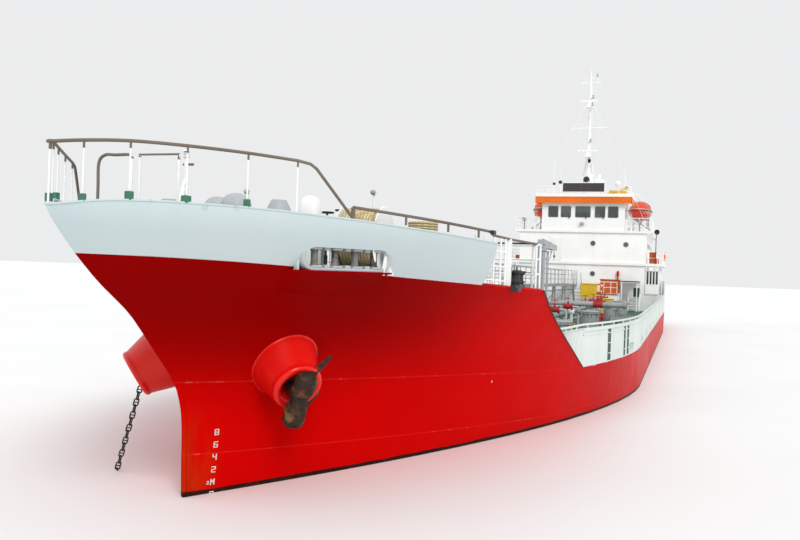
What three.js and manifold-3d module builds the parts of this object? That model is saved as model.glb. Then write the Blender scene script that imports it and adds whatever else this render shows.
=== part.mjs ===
// Small coastal tanker, modelled full size in metres and scaled to 1:2 by the root group (millimetres).
// +X is the bow, +Y is port, +Z is up. The origin is on the waterline, on the centreline, amidships.
import * as THREE from 'three';
import { mergeVertices } from 'three/addons/utils/BufferGeometryUtils.js';
import Module from 'manifold-3d';

const wasm = await Module();
wasm.setup();

// Driving dimensions of the full-size ship, in metres
const MODEL_SCALE = 0.5;
const MM_PER_M = 1000;
const SEAM = 0.0007;              // gap between two pieces that touch
const PLATE = 0.07;               // bulwark and side plating
const WALL = 0.09;                // house walls with their lining

const HALF_BEAM = 6.35;
const KEEL_Z = -2.8;
const DECK_Z = 1.45;              // main deck
const BREAK_X = 27.2;             // aft end of the forecastle deck
const HOUSE_X = -21.75;           // front of the aft house
const POOP_Z = 2.75;
const TIER_Z = 5.1;
const BOAT_DECK_Z = 7.6;
const ROOF_Z = 10.05;
const BILGE_R = 1.2;
const KEEL_HALF = 0.08;

// Materials
const paint = (color, roughness = 0.45, metalness = 0.1) =>
  new THREE.MeshStandardMaterial({ color, roughness, metalness });
const RED = paint(0xc0150f);
const PALE = paint(0xc3d3d3);
const WHITE = paint(0xe8ebe8);
const GREY = paint(0xa4aaae);
const DARK = paint(0x24262a, 0.6);
const ORANGE = paint(0xe8641c);
const GREEN = paint(0x2f6b4c, 0.6);
const BRONZE = paint(0xb08a4a, 0.3, 0.9);
const RUST = paint(0x4a3426, 0.85, 0.3);
const CHAIN_BLACK = paint(0x33403f, 0.7, 0.4);

// Solids: every node is one closed body
const plain = (geometry) => {
  const flat = geometry.index ? geometry.clone() : geometry;
  flat.deleteAttribute('normal');
  flat.deleteAttribute('uv');
  return mergeVertices(flat, 1e-5);
};
const toSolid = (geometry) => {
  const flat = plain(geometry);
  return new wasm.Manifold(new wasm.Mesh({
    numProp: 3,
    vertProperties: new Float32Array(flat.attributes.position.array),
    triVerts: new Uint32Array(flat.index.array),
  }));
};
const toGeometry = (solid) => {
  const mesh = solid.getMesh();
  const geometry = new THREE.BufferGeometry();
  geometry.setAttribute('position', new THREE.BufferAttribute(mesh.vertProperties, 3));
  geometry.setIndex(new THREE.BufferAttribute(mesh.triVerts, 1));
  geometry.computeVertexNormals();
  return geometry;
};
const fuse = (...solids) => solids.flat().reduce((sum, next) => sum.add(next));
const carve = (solid, ...cutters) => cutters.flat().reduce((left, next) => left.subtract(next), solid);
const shifted = (solid, x, y, z) => solid.translate([x, y, z]);
const mirrored = (solid) => solid.scale([1, -1, 1]);

// Basic shapes, each given by where it lies
const block = (x0, x1, y0, y1, z0, z1) =>
  toSolid(new THREE.BoxGeometry(x1 - x0, y1 - y0, z1 - z0)
    .translate((x0 + x1) / 2, (y0 + y1) / 2, (z0 + z1) / 2));
const turned = (geometry, from, to) => {
  const a = new THREE.Vector3(...from);
  const b = new THREE.Vector3(...to);
  const turn = new THREE.Quaternion().setFromUnitVectors(
    new THREE.Vector3(0, 1, 0), b.clone().sub(a).normalize());
  const middle = a.add(b).multiplyScalar(0.5);
  return geometry.applyQuaternion(turn).translate(middle.x, middle.y, middle.z);
};
const bar = (from, to, r, sides = 8, rTo = r) => {
  const length = new THREE.Vector3(...from).distanceTo(new THREE.Vector3(...to));
  return toSolid(turned(new THREE.CylinderGeometry(rTo, r, length, sides), from, to));
};
const ball = (centre, r, sides = 8) =>
  toSolid(new THREE.SphereGeometry(r, sides, Math.max(4, sides / 2)).translate(...centre));
// A round pipe bent along a smooth route
const pipe = (points, r, steps, sides = 6) => {
  const route = new THREE.CatmullRomCurve3(points.map((point) => new THREE.Vector3(...point)), false, 'centripetal');
  const ring = new THREE.Shape(Array.from({ length: sides }, (_, i) => {
    const turn = 2 * Math.PI * (i + 0.5) / sides;
    return new THREE.Vector2(r * Math.cos(turn), r * Math.sin(turn));
  }));
  return toSolid(new THREE.ExtrudeGeometry(ring, { steps, extrudePath: route, bevelEnabled: false }));
};
// A plate with its outline in the X-Z plane, between two values of Y
const sidePlate = (outline, y0, y1) => {
  const shape = new THREE.Shape(outline.map(([x, z]) => new THREE.Vector2(x, z)));
  return toSolid(new THREE.ExtrudeGeometry(shape, { depth: y1 - y0, bevelEnabled: false })
    .rotateX(Math.PI / 2).translate(0, y1, 0));
};
// A plate with its outline in plan, between two heights
const deckPlate = (outline, z0, z1) => {
  const shape = new THREE.Shape(outline.map(([x, y]) => new THREE.Vector2(x, y)));
  return toSolid(new THREE.ExtrudeGeometry(shape, { depth: z1 - z0, bevelEnabled: false })
    .translate(0, 0, z0));
};
// A body turned about +Z from [radius, height] points, standing at a place
const spun = (profile, x, y, z, sides = 20) =>
  toSolid(new THREE.LatheGeometry(profile.map(([r, h]) => new THREE.Vector2(r, h)), sides)
    .rotateX(Math.PI / 2).translate(x, y, z));

// Hull form. Each row is a height: the stem and stern there, and how the waterline swells from them.
const clamp = (v, low, high) => Math.min(high, Math.max(low, v));
const lerp = (a, b, t) => a + (b - a) * t;
const along = (rows, key, at, value) => {
  if (value <= rows[0][at]) return rows[0][key];
  const i = rows.findIndex((row) => row[at] >= value);
  if (i < 0) return rows[rows.length - 1][key];
  const [a, b] = [rows[i - 1], rows[i]];
  return lerp(a[key], b[key], (value - a[at]) / (b[at] - a[at]));
};
const STEM = [
  { z: -2.8, x: 31.0 }, { z: -2.6, x: 32.1 }, { z: -2.2, x: 32.95 }, { z: -1.5, x: 33.6 },
  { z: -0.7, x: 33.9 }, { z: 0.1, x: 33.98 }, { z: 1.28, x: 34.04 }, { z: 1.59, x: 34.12 },
  { z: 1.97, x: 34.33 }, { z: 2.29, x: 34.67 }, { z: 3.16, x: 35.6 }, { z: 3.51, x: 36.2 },
  { z: 3.97, x: 36.8 }, { z: 4.56, x: 37.42 },
];
const ENTRANCE = [
  { z: -2.8, sharp: 1.3, length: 17 }, { z: -1.4, sharp: 1.55, length: 19 }, { z: 0, sharp: 1.8, length: 20 },
  { z: 1.45, sharp: 2.1, length: 20 }, { z: 2.6, sharp: 2.06, length: 18.7 }, { z: 3.6, sharp: 2.06, length: 17.5 },
  { z: 4.7, sharp: 2.5, length: 20 },
];
const RUN = [
  { z: -2.8, x: -30.9, wide: 0, full: 1.15, length: 15 }, { z: -1.6, x: -31.05, wide: 0.01, full: 1.35, length: 15 },
  { z: -0.95, x: -31.2, wide: 0.03, full: 1.7, length: 14 }, { z: -0.5, x: -33.6, wide: 0.2, full: 1.9, length: 14 },
  { z: 0, x: -35.5, wide: 0.42, full: 2, length: 15 }, { z: 0.7, x: -36.3, wide: 0.58, full: 2.2, length: 15 },
  { z: 1.45, x: -36.8, wide: 0.66, full: 2.3, length: 15 }, { z: 4.65, x: -37.0, wide: 0.7, full: 2.4, length: 15 },
];
const stemX = (z) => along(STEM, 'x', 'z', z);
const sternX = (z) => along(RUN, 'x', 'z', z);
const bilge = (z) => {
  const up = clamp((z - KEEL_Z) / BILGE_R, 0, 1);
  return BILGE_R * (1 - Math.sqrt(1 - (1 - up) ** 2));
};
const halfBreadth = (x, z) => {
  const bow = clamp((stemX(z) - x) / along(ENTRANCE, 'length', 'z', z), 0, 1);
  const stern = clamp((x - sternX(z)) / along(RUN, 'length', 'z', z), 0, 1);
  const fore = 1 - (1 - bow) ** along(ENTRANCE, 'sharp', 'z', z);
  const wide = along(RUN, 'wide', 'z', z);
  const aft = wide + (1 - wide) * (1 - (1 - stern) ** along(RUN, 'full', 'z', z));
  const full = HALF_BEAM * Math.min(fore, aft);
  const keel = bow === 0 ? 0 : Math.min(full, KEEL_HALF);
  return Math.max(keel, full - bilge(z));
};
// Sheer of the forecastle deck and of the bulwark's upper edge
const FORE_SHEER = [
  { x: 27.4, z: 3.55 }, { x: 29.6, z: 3.66 }, { x: 32, z: 3.78 }, { x: 34, z: 3.91 }, { x: 35.6, z: 3.97 },
  { x: 36.8, z: 3.98 },
];
const BULWARK_SHEER = [
  { x: 30, z: 4.49 }, { x: 31.5, z: 4.585 }, { x: 33.5, z: 4.69 }, { x: 35, z: 4.74 }, { x: 36.2, z: 4.735 },
  { x: 36.9, z: 4.69 }, { x: 37.42, z: 4.56 },
];
const deckLine = (x) => along(FORE_SHEER, 'z', 'x', x);
const bulwarkLine = (x) => along(BULWARK_SHEER, 'z', 'x', x);

// A closed body from rings of equally many points, one above the other
const ringBody = (rings) => {
  const count = rings[0].length;
  const points = rings.flat();
  const faces = [];
  for (let k = 0; k + 1 < rings.length; k += 1) {
    for (let i = 0; i < count; i += 1) {
      const j = (i + 1) % count;
      const [a, b, c, d] = [k * count + i, k * count + j, (k + 1) * count + j, (k + 1) * count + i];
      faces.push(a, b, c, a, c, d);
    }
  }
  for (const [base, up] of [[0, false], [(rings.length - 1) * count, true]]) {
    for (let i = 0; i < count / 2 - 1; i += 1) {
      const [a, b, c, d] = [base + i, base + i + 1, base + count - 2 - i, base + count - 1 - i];
      if (up) faces.push(a, b, c, a, c, d);
      else faces.push(a, c, b, a, d, c);
    }
  }
  const geometry = new THREE.BufferGeometry();
  geometry.setAttribute('position', new THREE.Float32BufferAttribute(points.flat(), 3));
  geometry.setIndex(faces);
  return toSolid(geometry);
};

// The hull's skin at one level, port side from the stem aft, with points closer together at the ends
const HULL_STEPS = 28;
const easeEnds = (s) => (s < 0.5 ? 2 * s ** 2 : 1 - 2 * (1 - s) ** 2);
const levelPoint = (level, s, aftX, inset) => {
  let z = level(aftX);
  let x = 0;
  for (let pass = 0; pass < 4; pass += 1) {
    x = lerp(stemX(z) - inset, aftX ?? sternX(z) + inset, easeEnds(s));
    z = level(x);
  }
  return [x, Math.max(0, halfBreadth(x, z) - inset), z];
};
const hullRing = (level, aftX, steps = HULL_STEPS, inset = 0) => {
  const port = Array.from({ length: steps + 1 }, (_, i) => levelPoint(level, i / steps, aftX, inset));
  port[0][1] = 0.002;
  const starboard = port.map(([x, y, z]) => [x, -y, z]).reverse();
  return [...starboard, ...port];
};
const flatLevel = (z) => () => z;
const foreLevel = (share) => (x) => lerp(DECK_Z, deckLine(x ?? 0), share);
const LOW_LEVELS = [-2.8, -2.68, -2.45, -2.1, -1.6, -1.25, -0.95, -0.5, 0, 0.7, 1.45];
const FORE_LEVELS = [0.2, 0.4, 0.6, 0.8, 1];
const lowRings = LOW_LEVELS.map((z) => hullRing(flatLevel(z)));
const foreRings = FORE_LEVELS.map((share) => hullRing(foreLevel(share)));
const lowerHull = ringBody(lowRings);
const upperHull = ringBody([hullRing(flatLevel(DECK_Z + SEAM)), ...foreRings]);
const fullHull = ringBody([...lowRings, ...foreRings]);
// The side plating sweeps down from the forecastle to the main deck along this edge
const SWEEP = [
  { x: 27.45, z: 3.57 }, { x: 26.0, z: 2.9 }, { x: 25.15, z: 2.52 }, { x: 23.8, z: 1.94 }, { x: 22.8, z: DECK_Z },
];
const SKY = 9;
const aftOfSweep = (gap, floor) => sidePlate([
  ...SWEEP.map(({ x, z }) => [x - gap, Math.max(z, floor)]), [-40, floor], [-40, SKY], [SWEEP[0].x - gap, SKY],
], -SKY, SKY);
const WELL_LEVELS = [DECK_Z, 1.9, 2.4, 2.9, 3.3, 3.57, 4.2];
const wellDeck = ringBody(WELL_LEVELS.map((z) => {
  const steps = 24;
  const port = Array.from({ length: steps + 1 }, (_, i) => {
    const x = lerp(BREAK_X, -40, i / steps);
    return [x, Math.max(0.5, halfBreadth(Math.max(x, sternX(z)), Math.min(z, SWEEP[0].z)) - PLATE), z];
  });
  return [...port.map(([x, y]) => [x, -y, z]).reverse(), ...port];
}));
const well = [wellDeck, aftOfSweep(0, DECK_Z)];
const hull = carve(fullHull, ...well);

const parts = [];
const add = (name, solid, material) => {
  const mesh = new THREE.Mesh(solid.isBufferGeometry ? solid : toGeometry(solid), material);
  mesh.name = name;
  parts.push(mesh);
};
const bothSides = (name, solid, material) => {
  add(`port_${name}`, solid, material);
  add(`starboard_${name}`, mirrored(solid), material);
};
// The forecastle, with the side plates swept down from it, stands on the lower hull's flat top
add('hull', lowerHull, RED);
add('forecastle', carve(upperHull, ...well), RED);
// A piece that is fitted to its neighbours is cut to their surfaces, with the seam all round
const AROUND = [[1, 0, 0], [-1, 0, 0], [0, 1, 0], [0, -1, 0], [0, 0, 1], [0, 0, -1]];
const fitted = (solid, ...neighbours) => carve(solid,
  neighbours.flatMap((other) => AROUND.map(([x, y, z]) => shifted(other, x * SEAM, y * SEAM, z * SEAM))));
const onHull = (solid) => fitted(solid, hull);

// Bow bulwark: a curved plate on the forecastle's edge, with a roller chock each side and a pipe rail on top
const outward = (x, z) => {
  const step = 0.05;
  const slope = (halfBreadth(x + step, z) - halfBreadth(x - step, z)) / (2 * step);
  const size = Math.hypot(1, slope);
  return [-slope / size, 1 / size];
};
const BULWARK_END = { footX: 29.75, topX: 30.0 };
const BULWARK_STEPS = 22;
const bulwarkRing = (share) => {
  const endX = lerp(BULWARK_END.footX, BULWARK_END.topX, share ** 1.8);
  const level = (x) => lerp(deckLine(x) + SEAM * 3, bulwarkLine(x), share);
  const outer = Array.from({ length: BULWARK_STEPS + 1 }, (_, i) => {
    let z = 4;
    let x = 0;
    const s = i / BULWARK_STEPS;
    for (let pass = 0; pass < 6; pass += 1) {
      x = lerp(stemX(z), endX, s ** 1.9);
      z = level(x);
    }
    return [x, i === 0 ? 0 : halfBreadth(x, z), z];
  });
  const inner = outer.map(([x, y, z], i) => {
    if (i === 0) return [x - PLATE, 0, z];
    const [nx, ny] = outward(Math.min(x, stemX(z) - 0.06), z);
    return [x - nx * PLATE, Math.max(y - ny * PLATE, 0.01 * i), z];
  });
  const flip = ([x, y, z]) => [x, -y, z];
  // Open horseshoe: outer skin port to starboard, and the inner skin back
  const skin = [...outer.slice(1).reverse(), ...outer.map(flip)];
  const lining = [...inner.slice(1).reverse(), ...inner.map(flip)];
  return { skin, lining };
};
const bulwarkBody = (() => {
  const rings = [0, 0.33, 0.66, 1].map(bulwarkRing);
  return ringBody(rings.map(({ skin, lining }) => [...skin, ...[...lining].reverse()].reverse()));
})();
const CHOCK = { x: 33.2, low: 0.04, high: 0.36, half: 0.86, rim: 0.07, proud: 0.08 };
const chockPlace = (() => {
  const z = deckLine(CHOCK.x) + (CHOCK.low + CHOCK.high) / 2;
  const [nx, ny] = outward(CHOCK.x, z);
  return { centre: [CHOCK.x, halfBreadth(CHOCK.x, z), z], out: [nx, ny], turn: Math.atan2(ny, nx) };
})();
// A flat long hole or rim with round ends, square to the bulwark, from one depth to another along its normal
const stadium = (half, r, from, to) => {
  const shape = new THREE.Shape();
  shape.absarc(half - r, 0, r, -Math.PI / 2, Math.PI / 2, false);
  shape.absarc(-(half - r), 0, r, Math.PI / 2, Math.PI * 1.5, false);
  const { centre, turn } = chockPlace;
  return toSolid(new THREE.ExtrudeGeometry(shape, { depth: to - from, bevelEnabled: false, curveSegments: 5 })
    .translate(0, 0, from).rotateX(Math.PI / 2).rotateZ(Math.PI).rotateZ(turn - Math.PI / 2)
    .translate(...centre));
};
const chockHalfHigh = (CHOCK.high - CHOCK.low) / 2;
const chockHole = stadium(CHOCK.half, chockHalfHigh, -0.5, 0.5);
const chockRim = carve(stadium(CHOCK.half + CHOCK.rim, chockHalfHigh + CHOCK.rim, -0.16, CHOCK.proud), chockHole);

const RAIL = { height: 0.8, r: 0.03, post: 0.025, sides: 6, posts: [37.03, 36.55, 35.9, 35.12, 34.4], endX: 34.2, footX: 33.45 };
const bulwarkTop = (x, up = 0) => {
  const z = bulwarkLine(x);
  const [nx, ny] = outward(x, z);
  return [x - nx * PLATE / 2, Math.max(0, halfBreadth(x, z) - ny * PLATE / 2), z + up];
};
const railNose = [37.33, 0, bulwarkLine(37.33)];
const railPosts = [railNose, ...RAIL.posts.map((x) => bulwarkTop(x))];
const railTop = railPosts.map(([x, y, z]) => [x, y, z + RAIL.height]);
const railFoot = bulwarkTop(RAIL.footX);
const flipped = (points) => points.map(([x, y, z]) => [x, -y, z]);
const railRoute = [...railTop.slice(1), bulwarkTop(RAIL.endX, RAIL.height - 0.02), railFoot];
const bowRail = fuse(
  pipe([...flipped(railRoute).reverse(), railTop[0], ...railRoute], RAIL.r, 34, RAIL.sides),
  railPosts.map(([x, y, z]) => [1, -1].slice(y === 0 ? 1 : 0).map((side) =>
    bar([x, side * y, z - 0.1], [x, side * y, z + RAIL.height], RAIL.post, 4))).flat(),
  [1, -1].map((side) => ball([railFoot[0], side * railFoot[1], railFoot[2]], 0.06)));
add('bow_bulwark', onHull(carve(fuse(bulwarkBody, chockRim, mirrored(chockRim), bowRail),
  chockHole, mirrored(chockHole))), PALE);

// Upright rollers in each chock
const ROLLERS = { offsets: [-0.62, -0.21, 0.21, 0.62], r: 0.075, inset: 0.07 };
ROLLERS.offsets.forEach((offset, i) => {
  const { centre: [cx, cy], out: [nx, ny] } = chockPlace;
  const [x, y] = [cx - ny * offset - nx * ROLLERS.inset, cy + nx * offset - ny * ROLLERS.inset];
  const z0 = deckLine(CHOCK.x) + CHOCK.low + SEAM;
  const z1 = deckLine(CHOCK.x) + CHOCK.high - SEAM;
  const waist = ROLLERS.r * 0.8;
  bothSides(`chock_roller_${i + 1}`, spun([
    [0, 0], [ROLLERS.r, 0], [ROLLERS.r, 0.03], [waist, 0.07], [waist, z1 - z0 - 0.07],
    [ROLLERS.r, z1 - z0 - 0.03], [ROLLERS.r, z1 - z0], [0, z1 - z0],
  ], x, y, z0, 12), DARK);
});

// Pedestal rollers on the forecastle's edge, just ahead of its break
const PEDESTAL = { xs: [28.25, 27.83], y: 4.35, z: deckLine(28) + 0.01, baseH: 0.1, neckH: 0.13, neckR: 0.1 };
bothSides('roller_base', onHull(fuse(
  block(PEDESTAL.xs[1] - 0.2, PEDESTAL.xs[0] + 0.5, PEDESTAL.y - 0.2, PEDESTAL.y + 0.16,
    PEDESTAL.z - 0.08, PEDESTAL.z + PEDESTAL.baseH),
  PEDESTAL.xs.map((x) => bar([x, PEDESTAL.y, PEDESTAL.z + 0.05],
    [x, PEDESTAL.y, PEDESTAL.z + PEDESTAL.neckH], PEDESTAL.neckR, 16)),
)), DARK);
PEDESTAL.xs.forEach((x, i) => bothSides(`pedestal_roller_${i + 1}`, spun([
  [0, 0], [0.14, 0], [0.1, 0.04], [0.095, 0.16], [0.145, 0.21], [0.145, 0.25], [0.05, 0.27], [0, 0.27],
], x, PEDESTAL.y, PEDESTAL.z + PEDESTAL.neckH + SEAM, 14), DARK));

// Hawse bolsters: stub cones that lead the anchor chains clear of the bow
const BOLSTER = { root: [32.44, 0.79, 2.48], face: [33.07, 1.6, 1.86], rootR: 0.79, faceR: 0.43, pipeR: 0.25, pipeDeep: 0.5 };
const vector = (from, to) => to.map((v, i) => v - from[i]);
const unit = (v) => v.map((c) => c / Math.hypot(...v));
const BOLSTER_OUT = unit(vector(BOLSTER.root, BOLSTER.face));
const offFace = (out, down = 0) => BOLSTER.face.map((v, i) => v + BOLSTER_OUT[i] * out + FACE_DOWN[i] * down);
const FACE_DOWN = unit([0, 0, -1].map((v, i) => v + BOLSTER_OUT[2] * BOLSTER_OUT[i]));
const bolster = carve(fuse(
  bar(BOLSTER.root, BOLSTER.face, BOLSTER.rootR, 20, BOLSTER.faceR),
  toSolid(turned(new THREE.TorusGeometry(BOLSTER.faceR - 0.05, 0.07, 6, 20).rotateX(Math.PI / 2),
    offFace(-0.001), offFace(0.001))),
), bar(offFace(-BOLSTER.pipeDeep), offFace(0.2), BOLSTER.pipeR, 16));
bothSides('hawse_bolster', onHull(bolster), RED);

// Stockless anchor in its own frame: shank up +Z, crown along Y, flukes folded back and aft
const ANCHOR = { shank: 0.55, half: 0.5, fluke: 0.78, lean: 0.87, offFace: 0.28 };
const anchorBody = fuse(
  toSolid(new THREE.CylinderGeometry(0.07, 0.1, ANCHOR.shank, 8).rotateX(Math.PI / 2)
    .translate(0, 0, ANCHOR.shank / 2)),
  block(-0.15, 0.13, -ANCHOR.half, ANCHOR.half, -0.15, 0.1),
  block(-0.2, 0.18, -0.24, 0.24, -0.19, 0.13),
  [-1, 1].map((side) => toSolid(new THREE.CylinderGeometry(0.025, 0.15, ANCHOR.fluke, 6)
    .rotateX(Math.PI / 2).translate(0, 0, ANCHOR.fluke / 2 - 0.05).scale(0.7, 1, 1)
    .rotateY(-ANCHOR.lean).translate(-0.02, side * (ANCHOR.half - 0.12), 0))),
);
const framed = (solid, axisY, axisZ, at) => {
  const [y, z] = [new THREE.Vector3(...axisY), new THREE.Vector3(...axisZ)];
  const x = y.clone().cross(z);
  return solid.transform(new THREE.Matrix4().makeBasis(x, y, z).setPosition(...at).toArray());
};
const inboard = BOLSTER_OUT.map((v) => -v);
add('port_anchor', fitted(framed(anchorBody, FACE_DOWN.map((v) => -v), inboard, offFace(ANCHOR.offFace)), bolster, hull), RUST);

// The other anchor is let go, and hangs on its chain under the water
const CHAIN = { r: 0.04, foot: [32.71, -2.72, -1.75] };
const starboardOf = ([x, y, z]) => [x, -y, z];
add('starboard_chain', fitted(fuse(
  bar(starboardOf(offFace(-0.2, BOLSTER.pipeR - 0.025)), starboardOf(offFace(0, BOLSTER.pipeR - 0.025)), CHAIN.r, 8),
  bar(starboardOf(offFace(0, BOLSTER.pipeR - 0.025)), CHAIN.foot, CHAIN.r, 8),
  ball(starboardOf(offFace(0, BOLSTER.pipeR - 0.025)), CHAIN.r * 1.1),
  framed(fuse(anchorBody, bar([0, 0, 0], [0, 0, 0.8], 0.06, 8)), [0, 1, 0], [0, 0, 1],
    [CHAIN.foot[0], CHAIN.foot[1], CHAIN.foot[2] - 0.75])), mirrored(bolster)), CHAIN_BLACK);

// Anchor windlass: frame with two gearcase cheeks, and a cross shaft with two drums and two warping ends
const WINDLASS = { x: 31.0, z: 0.62 };
WINDLASS.deck = deckLine(WINDLASS.x);
const shaftZ = WINDLASS.deck + WINDLASS.z;
const cheek = (y) => fuse(
  sidePlate([[WINDLASS.x - 0.5, WINDLASS.deck + 0.07], [WINDLASS.x + 0.5, WINDLASS.deck + 0.07],
    [WINDLASS.x + 0.22, shaftZ + 0.2], [WINDLASS.x - 0.22, shaftZ + 0.2]], y - 0.09, y + 0.09));
const shaftHole = bar([WINDLASS.x, -3, shaftZ], [WINDLASS.x, 3, shaftZ], 0.09, 20);
add('windlass_frame', carve(fuse(
  block(WINDLASS.x - 0.7, WINDLASS.x + 0.7, -1.8, 1.8, WINDLASS.deck - 0.1, WINDLASS.deck + 0.09),
  cheek(-1.6), cheek(-0.95), cheek(0), cheek(0.95), cheek(1.6),
  block(WINDLASS.x - 1.05, WINDLASS.x - 0.6, -0.35, 0.35, WINDLASS.deck - 0.1, WINDLASS.deck + 0.55),
), shaftHole, shifted(hull, 0, 0, SEAM)), GREY);
const drum = (y0, y1, r, flange) => fuse(
  bar([WINDLASS.x, y0, shaftZ], [WINDLASS.x, y1, shaftZ], r, 14),
  bar([WINDLASS.x, y0, shaftZ], [WINDLASS.x, y0 + 0.05, shaftZ], flange, 14),
  bar([WINDLASS.x, y1 - 0.05, shaftZ], [WINDLASS.x, y1, shaftZ], flange, 14));
add('windlass_drums', fuse(
  bar([WINDLASS.x, -2.5, shaftZ], [WINDLASS.x, 2.5, shaftZ], 0.0883, 20),
  drum(0.12, 0.83, 0.2, 0.34), drum(-0.83, -0.12, 0.2, 0.34),
  drum(1.75, 2.4, 0.22, 0.38), drum(-2.4, -1.75, 0.22, 0.38)), GREY);

// Forecastle fittings
const mushroom = (x, y, r, h) => {
  const z = deckLine(x);
  return spun([[0, -0.05], [r * 0.55, -0.05], [r * 0.55, h * 0.55], [r, h * 0.6], [r * 0.92, h * 0.78],
    [r * 0.6, h * 0.94], [0, h]], x, y, z, 14);
};
bothSides('fore_vent', onHull(mushroom(33.0, 1.1, 0.25, 1.22)), GREY);
const bollardPair = (x, y, z, gap = 0.42, r = 0.15, h = 0.62) => fuse(
  block(x - gap - 0.3, x + gap + 0.3, y - 0.25, y + 0.25, z - 0.1, z + 0.07),
  [-gap, gap].map((dx) => spun([[0, 0], [r, 0], [r, h - 0.08], [r * 1.25, h - 0.06], [r * 1.25, h], [0, h]],
    x + dx, y, z + 0.05, 12)));
bothSides('fore_bollards', onHull(bollardPair(29.3, 3.1, deckLine(29.3), 0.36, 0.13, 0.55)), GREY);
const JACK = { x: 34.2, top: 5.7, legX: 34.8 };
add('jackstaff', onHull(fuse(
  bar([JACK.x, 0, deckLine(JACK.x) - 0.1], [JACK.x, 0, JACK.top], 0.035, 8),
  bar([JACK.legX, 0, deckLine(JACK.legX) - 0.1], [JACK.x, 0, JACK.top - 0.45], 0.03, 6),
  spun([[0, 0], [0.09, 0], [0.09, 0.16], [0.05, 0.2], [0, 0.2]], JACK.x, 0, JACK.top - 0.02, 12))), WHITE);

// Main-deck bulwarks, with a rail on short brackets, gates and freeing ports
const SIDE = { top: 2.5, capZ: 2.56, from: SWEEP[0].x, to: HOUSE_X };
const GATES = [{ x: -9.0, w: 1.2 }, { x: -16.6, w: 1.6 }];
const FREEING = [17.5, 13.5, 9.5, 5.5, 1.5, -3.5, -13];
const sideStrip = (out, into, z0, z1, steps = 14) => {
  const edge = (inset) => Array.from({ length: steps + 1 }, (_, i) => {
    const x = lerp(SIDE.from, SIDE.to + SEAM, i / steps);
    return [x, halfBreadth(x, DECK_Z) - inset];
  });
  return deckPlate([...edge(into), ...edge(out).reverse()], z0, z1);
};
const sideBulwark = carve(
  fuse(
    sideStrip(0.01, 0.01 + PLATE, DECK_Z + SEAM, SIDE.top),
    Array.from({ length: 15 }, (_, i) => {
      const x = 21.8 - i * 3;
      const y = halfBreadth(x, DECK_Z) - 0.045;
      return block(x - 0.04, x + 0.04, y - 0.04, y + 0.03, SIDE.top - 0.1, SIDE.capZ + 0.02);
    }),
    sideStrip(-0.02, 0.12, SIDE.capZ, SIDE.capZ + 0.06),
  ).intersect(aftOfSweep(SEAM, DECK_Z)),
  FREEING.map((x) => block(x - 0.45, x + 0.45, 0, 9, DECK_Z + 0.1, DECK_Z + 0.38)),
  GATES.map(({ x, w }) => block(x - w / 2, x + w / 2, 0, 9, DECK_Z + 0.12, SIDE.top - 0.12)),
);
bothSides('side_bulwark', sideBulwark, WHITE);

// Tank hatches: a round coaming on the deck and a lid hinged on its inboard side
const HATCH = { xs: [16.5, 6.5, -5.5, -14], y: 3.7, r: 0.42, h: 0.85, lid: 0.09, hinge: 0.5 };
const coaming = (x) => fuse(
  spun([[0, 0], [HATCH.r, 0], [HATCH.r, HATCH.h], [0, HATCH.h]], x, HATCH.y, DECK_Z + SEAM, 16),
  spun([[0, 0], [HATCH.r + 0.06, 0], [HATCH.r + 0.06, 0.05], [0, 0.05]], x, HATCH.y, DECK_Z + HATCH.h - 0.05, 16),
  [-0.12, 0.12].map((dx) => block(x + dx - 0.03, x + dx + 0.03, HATCH.y - HATCH.hinge - 0.09,
    HATCH.y - HATCH.r + 0.04, DECK_Z + HATCH.h - 0.12, DECK_Z + HATCH.h - 0.06)));
const hatchLid = (x) => fuse(
  spun([[0, 0], [HATCH.r + 0.06, 0], [HATCH.r + 0.06, 0.05], [HATCH.r * 0.7, HATCH.lid], [0, HATCH.lid]],
    x, HATCH.y, DECK_Z + HATCH.h + SEAM * 2, 16),
  [-0.2, 0.2].map((dx) => block(x + dx - 0.025, x + dx + 0.025, HATCH.y - HATCH.hinge - 0.05,
    HATCH.y - HATCH.r + 0.1, DECK_Z + HATCH.h + 0.012, DECK_Z + HATCH.h + 0.05)));
HATCH.xs.forEach((x, i) => {
  add(`hatch_coaming_${i + 1}`, coaming(x), GREY);
  add(`hatch_lid_${i + 1}`, hatchLid(x), GREY);
});

// Catwalk from the forecastle to the house, on legs, with a rail each side
const WALK = { z: 3.38, half: 0.45, from: BREAK_X - 0.05, to: HOUSE_X + 0.02, y: -0.75, rail: 1.0 };
const walkLegs = Array.from({ length: 10 }, (_, i) => lerp(WALK.from - 1.5, WALK.to + 1.5, i / 9));
const walkPosts = Array.from({ length: 15 }, (_, i) => lerp(WALK.from - 0.1, WALK.to + 0.1, i / 14));
const walkRail = (side) => {
  const y = WALK.y + side * (WALK.half - 0.03);
  return fuse(
    bar([WALK.from, y, WALK.z + WALK.rail], [WALK.to, y, WALK.z + WALK.rail], 0.035, 4),
    walkPosts.map((x) => bar([x, y, WALK.z - 0.03], [x, y, WALK.z + WALK.rail], 0.028, 4)));
};
add('catwalk', fuse(
  block(WALK.to, WALK.from, WALK.y - WALK.half - 0.05, WALK.y + WALK.half + 0.05, WALK.z - 0.14, WALK.z),
  walkRail(-1), walkRail(1),
  walkLegs.map((x) => [-1, 1].map((side) => bar([x, WALK.y + side * 0.42, DECK_Z + SEAM],
    [x, WALK.y + side * 0.42, WALK.z - 0.05], 0.05, 6))).flat(),
), GREY);

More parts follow.
